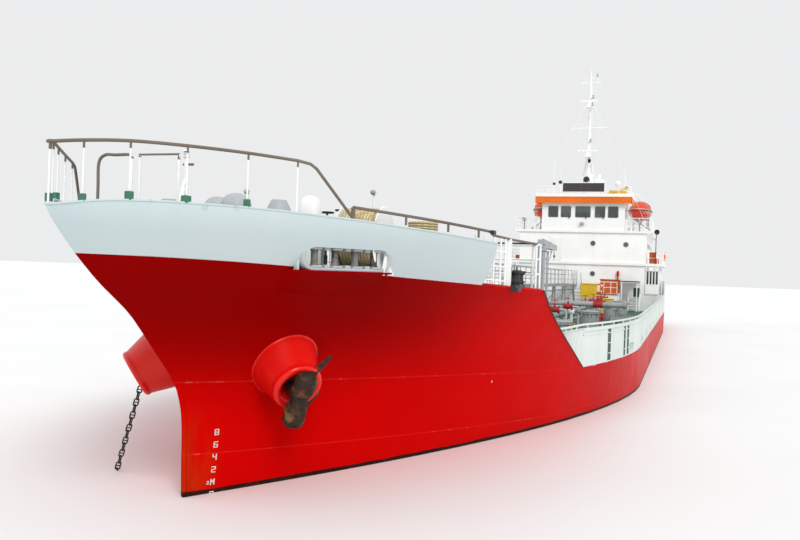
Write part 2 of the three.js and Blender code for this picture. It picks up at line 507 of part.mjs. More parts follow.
// Cargo pipes along the deck, with a crossover of manifold branches amidships
const LINES = { ys: [1.0, 1.45, 1.9], z: 0.55, r: 0.11, from: 24, to: -17.9 };
const CROSS = { xs: [2.7, 1.85, 1.0], z: 1.1, half: 5.0 };
const lineZ = DECK_Z + LINES.z;
const crossZ = DECK_Z + CROSS.z;
const flange = (x, y, z, r = 0.17) => bar([x, y - 0.04, z], [x, y + 0.04, z], r, 10);
const valve = (x, y, z) => fuse(
  spun([[0, 0], [0.16, 0], [0.12, 0.2], [0.05, 0.22], [0.05, 0.4], [0, 0.4]], x, y, z + 0.05, 8),
  bar([x, y, z + 0.4], [x, y, z + 0.44], 0.17, 12));
add('cargo_pipes', fuse(
  LINES.ys.map((y) => bar([LINES.from, y, lineZ], [LINES.to, y, lineZ], LINES.r, 8)),
  [22, 12, -2, -10, -17.4].map((x) => block(x - 0.08, x + 0.08, 0.8, 2.1, DECK_Z + SEAM, lineZ - 0.02)),
  CROSS.xs.map((x, i) => fuse(
    bar([x, -CROSS.half, crossZ], [x, CROSS.half, crossZ], LINES.r, 8),
    bar([x, LINES.ys[i], lineZ], [x, LINES.ys[i], crossZ], LINES.r, 8),
    [-1, 1].map((side) => fuse(flange(x, side * 4.96, crossZ), flange(x, side * 4.2, crossZ),
      valve(x, side * 3.7, crossZ))))),
  [-1, 1].map((side) =>
    block(CROSS.xs[2] - 0.3, CROSS.xs[0] + 0.3, side * 4.5 - 0.08, side * 4.5 + 0.08, DECK_Z + SEAM, crossZ)),
), GREY);

// Hose crane amidships, with its box jib stowed aft on a crutch
const CRANE = { x: 0, y: 0.35, columnTop: 5.35, r: 0.22, tip: -4.85, crutchX: -2.2, back: 0.35 };
add('crane_column', fuse(
  bar([CRANE.x, CRANE.y, DECK_Z + SEAM], [CRANE.x, CRANE.y, CRANE.columnTop], CRANE.r, 16),
  bar([CRANE.x, CRANE.y, DECK_Z + SEAM], [CRANE.x, CRANE.y, DECK_Z + 0.1], 0.42, 16),
  bar([CRANE.x, CRANE.y, CRANE.columnTop - 0.1], [CRANE.x, CRANE.y, CRANE.columnTop], 0.3, 16)), GREY);
add('crane_jib', fuse(
  bar([CRANE.x, CRANE.y, CRANE.columnTop + SEAM * 2], [CRANE.x, CRANE.y, CRANE.columnTop + 0.09], 0.3, 16),
  sidePlate([[CRANE.back, CRANE.columnTop + 0.08], [CRANE.back, 5.86], [-0.5, 5.86], [CRANE.tip, 5.7],
    [CRANE.tip, 5.44], [-0.5, CRANE.columnTop + 0.08]], CRANE.y - 0.16, CRANE.y + 0.16),
  bar([CRANE.tip + 0.12, CRANE.y, 5.5], [CRANE.tip + 0.12, CRANE.y, 5.12], 0.02, 6),
  block(CRANE.tip + 0.04, CRANE.tip + 0.2, CRANE.y - 0.05, CRANE.y + 0.05, 4.98, 5.16),
), GREY);
add('jib_crutch', fuse(
  bar([CRANE.crutchX, CRANE.y, DECK_Z + SEAM], [CRANE.crutchX, CRANE.y, 5.3], 0.07, 12),
  block(CRANE.crutchX - 0.12, CRANE.crutchX + 0.12, CRANE.y - 0.25, CRANE.y + 0.25, 5.26, 5.36),
  bar([CRANE.crutchX, CRANE.y, DECK_Z + SEAM], [CRANE.crutchX, CRANE.y, DECK_Z + 0.06], 0.2, 12)), GREY);

// Aft deck bollards and the small deckhouse ahead of the house
const deckhouse = fuse(
  block(-21.7, -18.4, 0.95, 3.1, DECK_Z + SEAM, POOP_Z),
  block(-21.72, -18.35, 0.9, 3.15, POOP_Z - 0.06, POOP_Z),
  block(-20.9, -20.0, 1.2, 2.6, POOP_Z - 0.01, POOP_Z + 1.05));
add('deckhouse', deckhouse, WHITE);

// Aft house in tiers. The poop takes the shape of the hull
const hullPlan = (z, fromX, toX, inset, steps = 14) => {
  const port = Array.from({ length: steps + 1 }, (_, i) => {
    const x = lerp(fromX, toX, i / steps);
    return [x, halfBreadth(Math.max(x, sternX(z) + 0.001), z) - inset];
  });
  return [...port, ...port.map(([x, y]) => [x, -y]).reverse()];
};
const POOP_AFT = sternX(DECK_Z) + 0.01;
const TIER_A = { aft: -33.2, side: 4.9, wingAft: -28.2 };
const poopRail = (() => {
  const path = hullPlan(DECK_Z, TIER_A.aft + 1.2, POOP_AFT + 0.1, 0.12, 4);
  const at = (share) => path.map(([x, y]) => [x, y, POOP_Z + share]);
  return fuse(
    ...[1.0, 0.55].map((share) => fuse(at(share).slice(1).map((point, i) => bar(at(share)[i], point, 0.03, 4)))),
    path.map(([x, y]) => bar([x, y, POOP_Z - 0.02], [x, y, POOP_Z + 1.02], 0.035, 4)));
})();
const sideWing = sideStripAft();
function sideStripAft() {
  const edge = (inset) => Array.from({ length: 9 }, (_, i) => {
    const x = lerp(HOUSE_X, -28, i / 8);
    return [x, halfBreadth(x, DECK_Z) - inset];
  });
  const strip = deckPlate([...edge(PLATE), ...edge(0).reverse()], POOP_Z - 0.02, POOP_Z + 1.05);
  return carve(strip, [-23.6, -24.5].map((x) => block(x - 0.2, x + 0.2, 0, 9, POOP_Z + 0.35, POOP_Z + 0.7)));
}
add('poop', fuse(
  deckPlate(hullPlan(DECK_Z, HOUSE_X, POOP_AFT, 0), DECK_Z + SEAM, POOP_Z),
  poopRail, sideWing, mirrored(sideWing)), WHITE);
const TIER_B = { aft: -31.6, side: 4.9 };
add('house_tiers', fuse(
  block(TIER_A.aft, HOUSE_X, -TIER_A.side, TIER_A.side, POOP_Z + SEAM, TIER_Z),
  block(TIER_A.wingAft, HOUSE_X + 0.1, -6.2, 6.2, TIER_Z - 0.14, TIER_Z),
  [-5.9, 5.9].map((y) => [-22.2, -25, -27.8].map((x) =>
    bar([x, y, POOP_Z + SEAM], [x, y, TIER_Z - 0.1], 0.05, 6))).flat(),
  block(TIER_B.aft, HOUSE_X, -TIER_B.side, TIER_B.side, TIER_Z - 0.1, BOAT_DECK_Z),
  block(TIER_B.aft - 0.6, HOUSE_X + 0.1, -5.3, 5.3, BOAT_DECK_Z - 0.12, BOAT_DECK_Z)), WHITE);

// Wheelhouse: hollow, with its windows and side doors cut through
const BRIDGE = { aft: -25.7, side: 3.2, sill: 1.0, head: 1.9 };
const floorZ = BOAT_DECK_Z + SEAM;
const FRONT_WINDOWS = [
  { y: -2.32, w: 0.8 }, { y: -1.32, w: 0.8 }, { y: 0, w: 1.2 }, { y: 1.32, w: 0.8 }, { y: 2.32, w: 0.8 },
];
const DOOR = { x: -24.6, w: 0.72, h: 1.85, sill: 0.12, thick: 0.06 };
const HINGE = { x: DOOR.x + DOOR.w / 2 - 0.03, y: BRIDGE.side + 0.032, r: 0.028, long: 0.12 };
HINGE.heights = [0.35, 1.5].map((h) => BOAT_DECK_Z + DOOR.sill + h);
const windowZ = [BOAT_DECK_Z + BRIDGE.sill, BOAT_DECK_Z + BRIDGE.head];
const doorHole = (grow) => block(DOOR.x - DOOR.w / 2 - grow, DOOR.x + DOOR.w / 2 + grow, BRIDGE.side - 0.3,
  BRIDGE.side + 0.3, BOAT_DECK_Z + DOOR.sill - grow, BOAT_DECK_Z + DOOR.sill + DOOR.h + grow);
const hingeKnuckle = fuse(HINGE.heights.map((h) => fuse(
  bar([HINGE.x, HINGE.y, h - HINGE.long], [HINGE.x, HINGE.y, h - SEAM], HINGE.r, 8),
  block(HINGE.x, HINGE.x + 0.14, BRIDGE.side + 0.006, BRIDGE.side + 0.03, h - HINGE.long, h - SEAM),
  block(HINGE.x + 0.06, HINGE.x + 0.14, BRIDGE.side - 0.02, BRIDGE.side + 0.02, h - HINGE.long, h - SEAM))));
const wheelhouse = carve(
  block(BRIDGE.aft, HOUSE_X, -BRIDGE.side, BRIDGE.side, floorZ, ROOF_Z - SEAM),
  block(BRIDGE.aft + WALL, HOUSE_X - WALL, -BRIDGE.side + WALL, BRIDGE.side - WALL, floorZ + 0.06, ROOF_Z + 1),
  FRONT_WINDOWS.map(({ y, w }) => block(HOUSE_X - 0.3, HOUSE_X + 0.3, y - w / 2, y + w / 2, ...windowZ)),
  [-1, 1].map((side) => block(-23.6, -22.5, side > 0 ? 2.9 : -3.5, side > 0 ? 3.5 : -2.9, ...windowZ)),
  [-1.6, 1.6].map((y) => block(BRIDGE.aft - 0.3, BRIDGE.aft + 0.3, y - 0.4, y + 0.4, ...windowZ)),
  doorHole(0.012), mirrored(doorHole(0.012)));
add('wheelhouse', fuse(wheelhouse, hingeKnuckle, mirrored(hingeKnuckle)), WHITE);
// A blank board stands above the brow
const BOARD = { x: HOUSE_X + 0.12, half: 1.62 };
const BROW = { half: 3.7, front: HOUSE_X + 0.35, low: ROOF_Z, high: ROOF_Z + 0.42 };
add('wheelhouse_roof', fuse(
  block(BRIDGE.aft - 0.2, BROW.front, -BROW.half, BROW.half, BROW.low, BROW.low + 0.14),
  carve(block(BRIDGE.aft - 0.2, BROW.front, -BROW.half, BROW.half, BROW.low + 0.1, BROW.high),
    block(BRIDGE.aft - 0.14, BROW.front - 0.06, -BROW.half + 0.06, BROW.half - 0.06, BROW.low, BROW.high + 1)),
  block(BOARD.x, BOARD.x + 0.06, -BOARD.half, BOARD.half, BROW.low + 0.55, BROW.low + 1.3),
  [-1.3, 1.3].map((y) => bar([BOARD.x, y, BROW.low + 0.1], [BOARD.x, y, BROW.low + 1.2], 0.03, 6)),
), ORANGE);
const wheelDoor = fuse(
  carve(block(DOOR.x - DOOR.w / 2, DOOR.x + DOOR.w / 2, BRIDGE.side - DOOR.thick - 0.01, BRIDGE.side - 0.01,
    BOAT_DECK_Z + DOOR.sill, BOAT_DECK_Z + DOOR.sill + DOOR.h),
  block(DOOR.x - 0.2, DOOR.x + 0.2, 2, 4, BOAT_DECK_Z + 1.1, BOAT_DECK_Z + 1.75)),
  HINGE.heights.map((h) => fuse(
    bar([HINGE.x, HINGE.y, h], [HINGE.x, HINGE.y, h + HINGE.long], HINGE.r, 8),
    block(HINGE.x - 0.02, HINGE.x + 0.02, BRIDGE.side - 0.02, HINGE.y, h, h + HINGE.long))));
bothSides('wheelhouse_door', wheelDoor, WHITE);
// Mast abaft the wheelhouse, with two radar scanners and a yard
const MAST = { x: -24.4, foot: ROOF_Z + 0.14, top: 20.4, shelf: [13.6, 17.6], reach: 1.05, scanner: [0.8, 0.65] };
add('radar_mast', carve(fuse(
  bar([MAST.x, 0, MAST.foot], [MAST.x, 0, MAST.top], 0.17, 12, 0.06),
  [-0.9, 0.9].map((y) => bar([MAST.x - 0.7, y, MAST.foot - 0.05], [MAST.x, 0, 14.2], 0.07, 8)),
  MAST.shelf.map((z) => fuse(
    block(MAST.x, MAST.x + MAST.reach + 0.2, -0.25, 0.25, z, z + 0.06),
    bar([MAST.x + 0.05, 0, z - 0.8], [MAST.x + MAST.reach, 0, z + 0.03], 0.035, 6),
    bar([MAST.x + MAST.reach, 0, z], [MAST.x + MAST.reach, 0, z + 0.34], 0.13, 12))),
  bar([MAST.x, -1.5, 16.1], [MAST.x, 1.5, 16.1], 0.045, 8),
  bar([MAST.x, -0.8, 19.8], [MAST.x, 0.8, 19.8], 0.03, 6)),
block(MAST.x - 2, MAST.x + 2, -2, 2, MAST.foot - 1, MAST.foot + SEAM)), WHITE);
MAST.shelf.forEach((z, i) => {
  const half = MAST.scanner[i];
  const x = MAST.x + MAST.reach;
  const foot = z + 0.34 + SEAM * 2;
  add(`radar_scanner_${i + 1}`, fuse(
    bar([x, 0, foot], [x, 0, foot + 0.1], 0.09, 12),
    block(x - 0.08, x + 0.08, -half, half, foot + 0.06, foot + 0.2)), WHITE);
});

// Funnel on the boat deck
const FUNNEL = { x0: -31.0, x1: -28.2, half: 0.95, top: 12.4 };
add('funnel', fuse(
  ringBody([[BOAT_DECK_Z + SEAM, 0], [FUNNEL.top, 0.25]].map(([z, lean]) => {
    const steps = 10;
    const side = Array.from({ length: steps + 1 }, (_, i) => {
      const turn = Math.PI * i / steps;
      return [lerp(FUNNEL.x0, FUNNEL.x1, 0.5) + (FUNNEL.x1 - FUNNEL.x0) / 2 * Math.cos(turn) - lean,
        Math.max(0.002, FUNNEL.half * Math.sin(turn) ** 0.6), z];
    });
    return [...side.map(([x, y]) => [x, -y, z]).reverse(), ...side];
  })),
  [-0.35, 0.35].map((y) => bar([-29.9, y, FUNNEL.top - 0.1], [-30.1, y, FUNNEL.top + 0.55], 0.14, 12))), WHITE);

// Lifeboats on sloping track davits
const BOAT = { x: -28.6, y: 4.0, z: 9.62, half: 2.4, beam: 0.92, up: 0.85, down: 0.78, slope: 35 };
const slopeOut = Math.cos(THREE.MathUtils.degToRad(BOAT.slope));
const slopeDown = Math.sin(THREE.MathUtils.degToRad(BOAT.slope));
const boatBody = (() => {
  const geometry = new THREE.SphereGeometry(1, 16, 10).rotateX(Math.PI / 2);
  const place = geometry.attributes.position;
  for (let i = 0; i < place.count; i += 1) {
    const [px, py, pz] = [place.getX(i), place.getY(i), place.getZ(i)];
    const full = Math.sign(py) * Math.abs(py) ** 0.8;
    place.setXYZ(i, px * BOAT.half, full * BOAT.beam, pz > 0 ? pz * BOAT.up : pz * BOAT.down);
  }
  return fuse(toSolid(geometry), toSolid(new THREE.CylinderGeometry(1, 1, 0.1, 20).rotateX(Math.PI / 2)
    .scale(BOAT.half * 1.0, BOAT.beam * 1.05, 1)));
})().translate([BOAT.x, BOAT.y, BOAT.z]);
// A plate with its outline in the Y-Z plane, between two values of X
const crossPlate = (outline, x0, x1) => {
  const shape = new THREE.Shape(outline.map(([y, z]) => new THREE.Vector2(y, z)));
  return toSolid(new THREE.ExtrudeGeometry(shape, { depth: x1 - x0, bevelEnabled: false })
    .rotateX(Math.PI / 2).rotateZ(Math.PI / 2).translate(x0, 0, 0));
};
const TRACK = { xs: [BOAT.x - 1.5, BOAT.x + 1.5], y0: 3.35, y1: 5.28, mid: 8.55, deep: 0.13, half: 0.07 };
const trackTop = (y) => TRACK.mid + (BOAT.y - y) * slopeDown / slopeOut;
const strip = (y0, y1, low, high) => [[y0, trackTop(y0) + low], [y1, trackTop(y1) + low],
  [y1, trackTop(y1) + high], [y0, trackTop(y0) + high]];
bothSides('davit', carve(fuse(
  TRACK.xs.map((x) => fuse(
    crossPlate(strip(TRACK.y0, TRACK.y1, -TRACK.deep, 0), x - TRACK.half, x + TRACK.half),
    block(x - 0.06, x + 0.06, TRACK.y0, TRACK.y0 + 0.14, BOAT_DECK_Z + SEAM, trackTop(TRACK.y0) - 0.15),
    block(x - 0.1, x + 0.1, TRACK.y0 - 0.06, TRACK.y1 - 0.05, BOAT_DECK_Z + SEAM, BOAT_DECK_Z + 0.06))),
  block(TRACK.xs[0], TRACK.xs[1], TRACK.y0, TRACK.y0 + 0.12, BOAT_DECK_Z + SEAM, BOAT_DECK_Z + 0.06),
), block(TRACK.xs[0] - 1, TRACK.xs[1] + 1, 0, 9, BOAT_DECK_Z - 2, BOAT_DECK_Z + SEAM)), WHITE);
const RUNNER = { y0: 3.42, y1: 4.95, thick: 0.1, half: 0.05 };
const cradle = fuse(TRACK.xs.map((x) => fuse(
  crossPlate(strip(RUNNER.y0, RUNNER.y1, SEAM * 1.6, RUNNER.thick), x - RUNNER.half, x + RUNNER.half),
  block(x - 0.05, x + 0.05, BOAT.y - 0.05, BOAT.y + 0.05, TRACK.mid + 0.05, BOAT.z),
  block(x - 0.05, x + 0.05, BOAT.y + 0.6, BOAT.y + 0.7, trackTop(BOAT.y + 0.6) + 0.02, BOAT.z))));
bothSides('lifeboat', fuse(boatBody, cradle), ORANGE);

// Rudder and propeller under the counter
const STERN = { shaftZ: -1.75, propX: -31.75, rudderX: -33.2, stockTop: -0.5985 };
const blade = (turn) => toSolid(new THREE.SphereGeometry(1, 8, 6).scale(0.035, 0.22, 0.36)
  .rotateZ(0.6).translate(0, 0, 0.45)).rotate([turn, 0, 0]).translate([STERN.propX, 0, STERN.shaftZ]);
add('propeller', fuse(
  bar([STERN.propX - 0.28, 0, STERN.shaftZ], [STERN.propX + 0.3, 0, STERN.shaftZ], 0.1, 16, 0.16),
  bar([STERN.propX, 0, STERN.shaftZ], [sternX(STERN.shaftZ + 0.1) - SEAM, 0, STERN.shaftZ], 0.1, 12),
  [0, 90, 180, 270].map(blade)), BRONZE);
add('rudder', fuse(
  sidePlate([[STERN.rudderX + 0.45, -0.85], [STERN.rudderX + 0.45, -2.6], [STERN.rudderX - 1.05, -2.6],
    [STERN.rudderX - 1.0, -0.85]], -0.09, 0.09),
  bar([STERN.rudderX, 0, -2.6], [STERN.rudderX, 0, STERN.stockTop], 0.12, 12)), RED);

const ship = new THREE.Group();
const fullSize = new THREE.Group();
fullSize.add(...parts);
fullSize.scale.setScalar(MM_PER_M * MODEL_SCALE);
ship.add(fullSize);
export default ship;
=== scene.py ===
"""Looks of the half-scale coastal tanker: finish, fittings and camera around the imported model.

Lengths are those of the full-size ship in metres, and K scales them to the model as meshes are made.
+X is the bow, +Y is port, +Z is up, and the water lies at z = 0.
"""
import math

import bmesh
import bpy
from mathutils import Matrix, Vector


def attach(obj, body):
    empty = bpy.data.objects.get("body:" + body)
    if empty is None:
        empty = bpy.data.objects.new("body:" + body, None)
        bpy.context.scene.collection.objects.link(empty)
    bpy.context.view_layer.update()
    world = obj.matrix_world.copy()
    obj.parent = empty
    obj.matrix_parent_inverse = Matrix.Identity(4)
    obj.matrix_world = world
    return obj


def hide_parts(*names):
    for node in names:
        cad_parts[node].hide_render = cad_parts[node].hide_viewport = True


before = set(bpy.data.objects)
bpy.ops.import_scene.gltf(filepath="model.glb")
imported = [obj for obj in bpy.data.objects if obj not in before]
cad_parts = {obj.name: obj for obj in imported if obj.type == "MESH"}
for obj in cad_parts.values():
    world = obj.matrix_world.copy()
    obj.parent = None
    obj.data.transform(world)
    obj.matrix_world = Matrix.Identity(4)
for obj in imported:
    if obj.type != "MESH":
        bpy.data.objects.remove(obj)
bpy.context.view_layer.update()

K = 0.5
SIDES = (-1, 1)
NAMED_SIDES = ((1, "port"), (-1, "starboard"))
AHEAD, ASTERN, TO_PORT = (1, 0, 0), (-1, 0, 0), (0, 1, 0)
X, Y, Z = Vector(AHEAD), Vector(TO_PORT), Vector((0, 0, 1))

# Hull form, as the solid hull has it
HALF_BEAM, KEEL_Z, DECK_Z, BILGE_R, KEEL_HALF = 6.35, -2.8, 1.45, 1.2, 0.08
BREAK_X, HOUSE_X = 27.2, -21.75
POOP_Z, TIER_Z, BOAT_DECK_Z = 2.75, 5.1, 7.6
PLATE = 0.07
STEM = [(-2.8, 31.0), (-2.6, 32.1), (-2.2, 32.95), (-1.5, 33.6), (-0.7, 33.9), (0.1, 33.98), (1.28, 34.04),
        (1.59, 34.12), (1.97, 34.33), (2.29, 34.67), (3.16, 35.6), (3.51, 36.2), (3.97, 36.8), (4.56, 37.42)]
# height: sharpness and length of the entrance
ENTRANCE = [(-2.8, 1.3, 17), (-1.4, 1.55, 19), (0, 1.8, 20), (1.45, 2.1, 20), (2.6, 2.06, 18.7),
            (3.6, 2.06, 17.5), (4.7, 2.5, 20)]
# height: stern, its width there, fullness and length of the run
RUN = [(-2.8, -30.9, 0, 1.15, 15), (-1.6, -31.05, 0.01, 1.35, 15), (-0.95, -31.2, 0.03, 1.7, 14),
       (-0.5, -33.6, 0.2, 1.9, 14), (0, -35.5, 0.42, 2, 15), (0.7, -36.3, 0.58, 2.2, 15),
       (1.45, -36.8, 0.66, 2.3, 15), (4.65, -37.0, 0.7, 2.4, 15)]
SWEEP = [(22.8, DECK_Z), (23.8, 1.94), (25.15, 2.52), (26.0, 2.9), (27.45, 3.57)]
# sheer of the forecastle deck and of the bulwark's upper edge
FORE_SHEER = [(27.4, 3.55), (29.6, 3.66), (32, 3.78), (34, 3.91), (35.6, 3.97), (36.8, 3.98)]
BULWARK_SHEER = [(30, 4.49), (31.5, 4.585), (33.5, 4.69), (35, 4.74), (36.2, 4.735), (36.9, 4.69),
                 (37.42, 4.56)]


def lerp(a, b, t):
    return a + (b - a) * t


def spread(a, b, steps):
    """Values from one to another in even steps, both ends among them."""
    return [lerp(a, b, i / steps) for i in range(steps + 1)]


def clamp(v, low=0.0, high=1.0):
    return min(high, max(low, v))


def turns(count, start=0.0):
    """Angles of even steps round a circle."""
    return [start + 2 * math.pi * k / count for k in range(count)]


def rounded(v, power):
    """A sine or cosine swollen so that its circle comes nearer to a square."""
    return math.copysign(abs(v) ** power, v)


def square_to(axis):
    """An axis at unit length, and two directions square to it."""
    axis = Vector(axis).normalized()
    side = axis.orthogonal().normalized()
    return axis, side, axis.cross(side)


def arc(at, r, u, v, angles):
    """Points round a centre, in the plane of two directions."""
    return [Vector(at) + (u * math.cos(t) + v * math.sin(t)) * r for t in angles]


def along(rows, column, at):
    """The value in a column of a table whose first column rises, between its rows."""
    if at <= rows[0][0]:
        return rows[0][column]
    for a, b in zip(rows, rows[1:]):
        if at <= b[0]:
            return lerp(a[column], b[column], (at - a[0]) / (b[0] - a[0]))
    return rows[-1][column]


def fair(rows, column, z, reach=0.3):
    """As along, with the corners of the table rounded off."""
    return sum(along(rows, column, z + reach * d) for d in (-1, -0.5, 0, 0.5, 1)) / 5


def stem_x(z):
    return fair(STEM, 1, z, 0.16)


def stern_x(z):
    return along(RUN, 1, z)


def half_breadth(x, z):
    bow = clamp((stem_x(z) - x) / fair(ENTRANCE, 2, z))
    stern = clamp((x - stern_x(z)) / along(RUN, 4, z))
    fore = 1 - (1 - bow) ** fair(ENTRANCE, 1, z)
    wide = along(RUN, 2, z)
    aft = wide + (1 - wide) * (1 - (1 - stern) ** along(RUN, 3, z))
    up = clamp((z - KEEL_Z) / BILGE_R)
    bilge = BILGE_R * (1 - math.sqrt(1 - (1 - up) ** 2))
    full = HALF_BEAM * min(fore, aft)
    keel = 0 if bow == 0 else min(full, KEEL_HALF)
    return max(keel, full - bilge)


def deck_line(x):
    return fair(FORE_SHEER, 1, x, 0.8)


def bulwark_line(x):
    return fair(BULWARK_SHEER, 1, x, 0.25)


def side_top(x):
    """Height of the hull's side plating along the ship."""
    if x >= SWEEP[-1][0]:
        return deck_line(x)
    return along(SWEEP, 1, x)


def sweep_x(z):
    """Where the side plating's swept edge stands at a height."""
    return along([(h, x) for x, h in SWEEP], 1, z)


def outward(x, z, step=0.05):
    slope = (half_breadth(x + step, z) - half_breadth(x - step, z)) / (2 * step)
    size = math.hypot(1, slope)
    return -slope / size, 1 / size


def flip_y(p):
    return Vector((p[0], -p[1], p[2]))


def axes(x, y, z, at):
    """The matrix that lays a build's axes along three directions from a point."""
    turn = Matrix((Vector(x), Vector(y), Vector(z))).transposed().to_4x4()
    return Matrix.Translation(Vector(at)) @ turn


def curve(points, steps=6):
    """A smooth route through points."""
    points = [Vector(p) for p in points]
    n = len(points)
    route = []
    for i in range(n - 1):
        p0, p1, p2, p3 = (points[min(n - 1, max(0, i + k))] for k in (-1, 0, 1, 2))
        for k in range(steps):
            t = k / steps
            route.append(0.5 * (2 * p1 + (p2 - p0) * t + (2 * p0 - 5 * p1 + 4 * p2 - p3) * t * t
                                + (3 * p1 - p0 - 3 * p2 + p3) * t ** 3))
    return route + [points[-1]]


class Build:
    """Gathers the faces of one piece, in full-size metres, and makes it into a mesh."""

    def __init__(self):
        self.points = []
        self.faces = []
        self.slots = []
        self.slot = 0

    def paint(self, slot):
        """Chooses the finish of what follows, by its place among the materials."""
        self.slot = slot
        return self

    def add(self, points, faces):
        base = len(self.points)
        self.points += [tuple(p) for p in points]
        self.faces += [tuple(base + i for i in face) for face in faces]
        self.slots += [self.slot] * len(faces)
        return self

    def grid(self, rows, closed=False, flip=False):
        """A sheet through rows of equally many points."""
        width = len(rows[0])
        faces = []
        for r in range(len(rows) - 1):
            for c in range(width if closed else width - 1):
                d = (c + 1) % width
                face = (r * width + c, r * width + d, (r + 1) * width + d, (r + 1) * width + c)
                faces.append(face[::-1] if flip else face)
        return self.add([p for row in rows for p in row], faces)

    def loft(self, rows):
        """A solid through rows of points that go round it, flat at both ends."""
        n, start = len(rows[0]), len(self.points)
        self.grid(rows, closed=True)
        end = len(self.points)
        self.faces += [tuple(range(start, start + n))[::-1], tuple(range(end - n, end))]
        self.slots += [self.slot] * 2
        return self

    def box(self, x0, x1, y0, y1, z0, z1):
        points = [(x, y, z) for z in sorted((z0, z1)) for y in sorted((y0, y1)) for x in sorted((x0, x1))]
        return self.add(points,
                        [(0, 2, 3, 1), (4, 5, 7, 6), (0, 1, 5, 4), (1, 3, 7, 5), (3, 2, 6, 7), (2, 0, 4, 6)])

    def boxes(self, *rows):
        for row in rows:
            self.box(*row)
        return self

    def block(self, at, long, deep, low, high):
        """An upright box about a place, with its sizes along and across and two heights over the place."""
        x, y, z = at
        return self.box(x - long / 2, x + long / 2, y - deep / 2, y + deep / 2, z + low, z + high)

    def plate(self, at, x_axis, y_axis, size, z_axis=None):
        """A box of full sizes about a centre, along given directions."""
        x_axis, y_axis = Vector(x_axis).normalized(), Vector(y_axis).normalized()
        z_axis = Vector(z_axis).normalized() if z_axis else x_axis.cross(y_axis)
        one = Build().block((0, 0, 0), size[0], size[1], -size[2] / 2, size[2] / 2)
        return self.put(one, axes(x_axis, y_axis, z_axis, at))

    def tube(self, route, r, sides=8, closed=False):
        """A round bar along a route of points; r is one radius, or one for each point."""
        route = [Vector(p) for p in route]
        count = len(route)
        radii = r if isinstance(r, list) else [r] * count
        rows = []
        normal = None
        for i, point in enumerate(route):
            after = route[(i + 1) % count] if closed or i + 1 < count else point
            before = route[i - 1] if closed or i > 0 else point
            ahead = (after - point).normalized() + (point - before).normalized()
            ahead = ahead.normalized() if ahead.length > 1e-9 else Z
            if normal is None:
                normal = ahead.orthogonal().normalized()
            normal = (normal - ahead * normal.dot(ahead)).normalized()
            rows.append(arc(point, radii[i], normal, ahead.cross(normal), turns(sides)))
        return self.grid(rows + [rows[0]], closed=True) if closed else self.loft(rows)

    def tubes(self, routes, r, sides=8):
        for route in routes:
            self.tube(route, r, sides)
        return self

    def poles(self, places, low, high, r, sides=8):
        """Upright bars at places, between two heights."""
        return self.tubes([[(x, y, low), (x, y, high)] for x, y in places], r, sides)

    def hoop(self, at, r, thick, u, v, count, sides):
        """A closed ring in the plane of two directions."""
        return self.tube(arc(at, r, u, v, turns(count)), thick, sides, closed=True)

    def lathe(self, profile, at, axis=(0, 0, 1), sides=24):
        """A body turned about an axis from (radius, height) points; it starts and ends on the axis."""
        axis, side, third = square_to(axis)
        at = Vector(at)
        return self.grid([arc(at + axis * h, max(r, 1e-4), side, third, turns(sides)) for r, h in profile],
                         closed=True)

    def disc(self, at, r, low, high, axis=(0, 0, 1), sides=24):
        """A flat round body between two heights over a place."""
        return self.lathe([(0, low), (r, low), (r, high), (0, high)], at, axis, sides)

    def prism(self, outline, low, high, axis="z"):
        """An outline drawn in the plane across an axis, made solid between two places on it."""
        place = {"z": lambda p, h: (p[0], p[1], h), "y": lambda p, h: (p[0], h, p[1]),
                 "x": lambda p, h: (h, p[0], p[1])}[axis]
        return self.loft([[place(p, h) for p in outline] for h in (low, high)])

    def put(self, other, matrix):
        """Adds another build, moved by a matrix."""
        base = len(self.points)
        self.points += [tuple(matrix @ Vector(p)) for p in other.points]
        self.faces += [tuple(base + i for i in face) for face in other.faces]
        self.slots += other.slots
        return self

    def mirror(self):
        """Adds the starboard twin of everything so far."""
        count = len(self.points)
        self.points += [(x, -y, z) for x, y, z in self.points]
        self.faces += [tuple(count + i for i in reversed(face)) for face in self.faces]
        self.slots += self.slots
        return self

    def on_side(self, side):
        """Turns what was built for port to a side: 1 for port, -1 for starboard."""
        self.points = [(x, y * side, z) for x, y, z in self.points]
        return self

    def make(self, name, materials, slot=None, replaces=(), body="ship", smooth=35, bevel=0.0, weld=0.0):
        materials = materials if isinstance(materials, list) else [materials]
        mesh = bpy.data.meshes.new(name)
        mesh.from_pydata([(x * K, y * K, z * K) for x, y, z in self.points], [], self.faces)
        mesh.polygons.foreach_set("material_index", self.slots)
        for material in materials:
            mesh.materials.append(material)
        tidy_mesh(mesh, weld)
        smooth_mesh(mesh, smooth)
        piece = bpy.data.objects.new(name, mesh)
        bpy.context.scene.collection.objects.link(piece)
        if bevel:
            edge = piece.modifiers.new("edge", "BEVEL")
            edge.width = bevel * K
            edge.segments = 2
            edge.limit_method = "ANGLE"
            edge.angle_limit = math.radians(50)
            edge.harden_normals = True
        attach(piece, body)
        if replaces:
            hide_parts(*([replaces] if isinstance(replaces, str) else replaces))
        return piece


def tidy_mesh(mesh, weld):
    """Welds doubled points and turns every face outward."""
    work = bmesh.new()
    work.from_mesh(mesh)
    bmesh.ops.remove_doubles(work, verts=work.verts, dist=max(weld * K, 1e-5))
    bmesh.ops.recalc_face_normals(work, faces=work.faces)
    work.to_mesh(mesh)
    work.free()


def smooth_mesh(mesh, angle):
    mesh.shade_smooth()
    mesh.set_sharp_from_angle(angle=math.radians(angle))


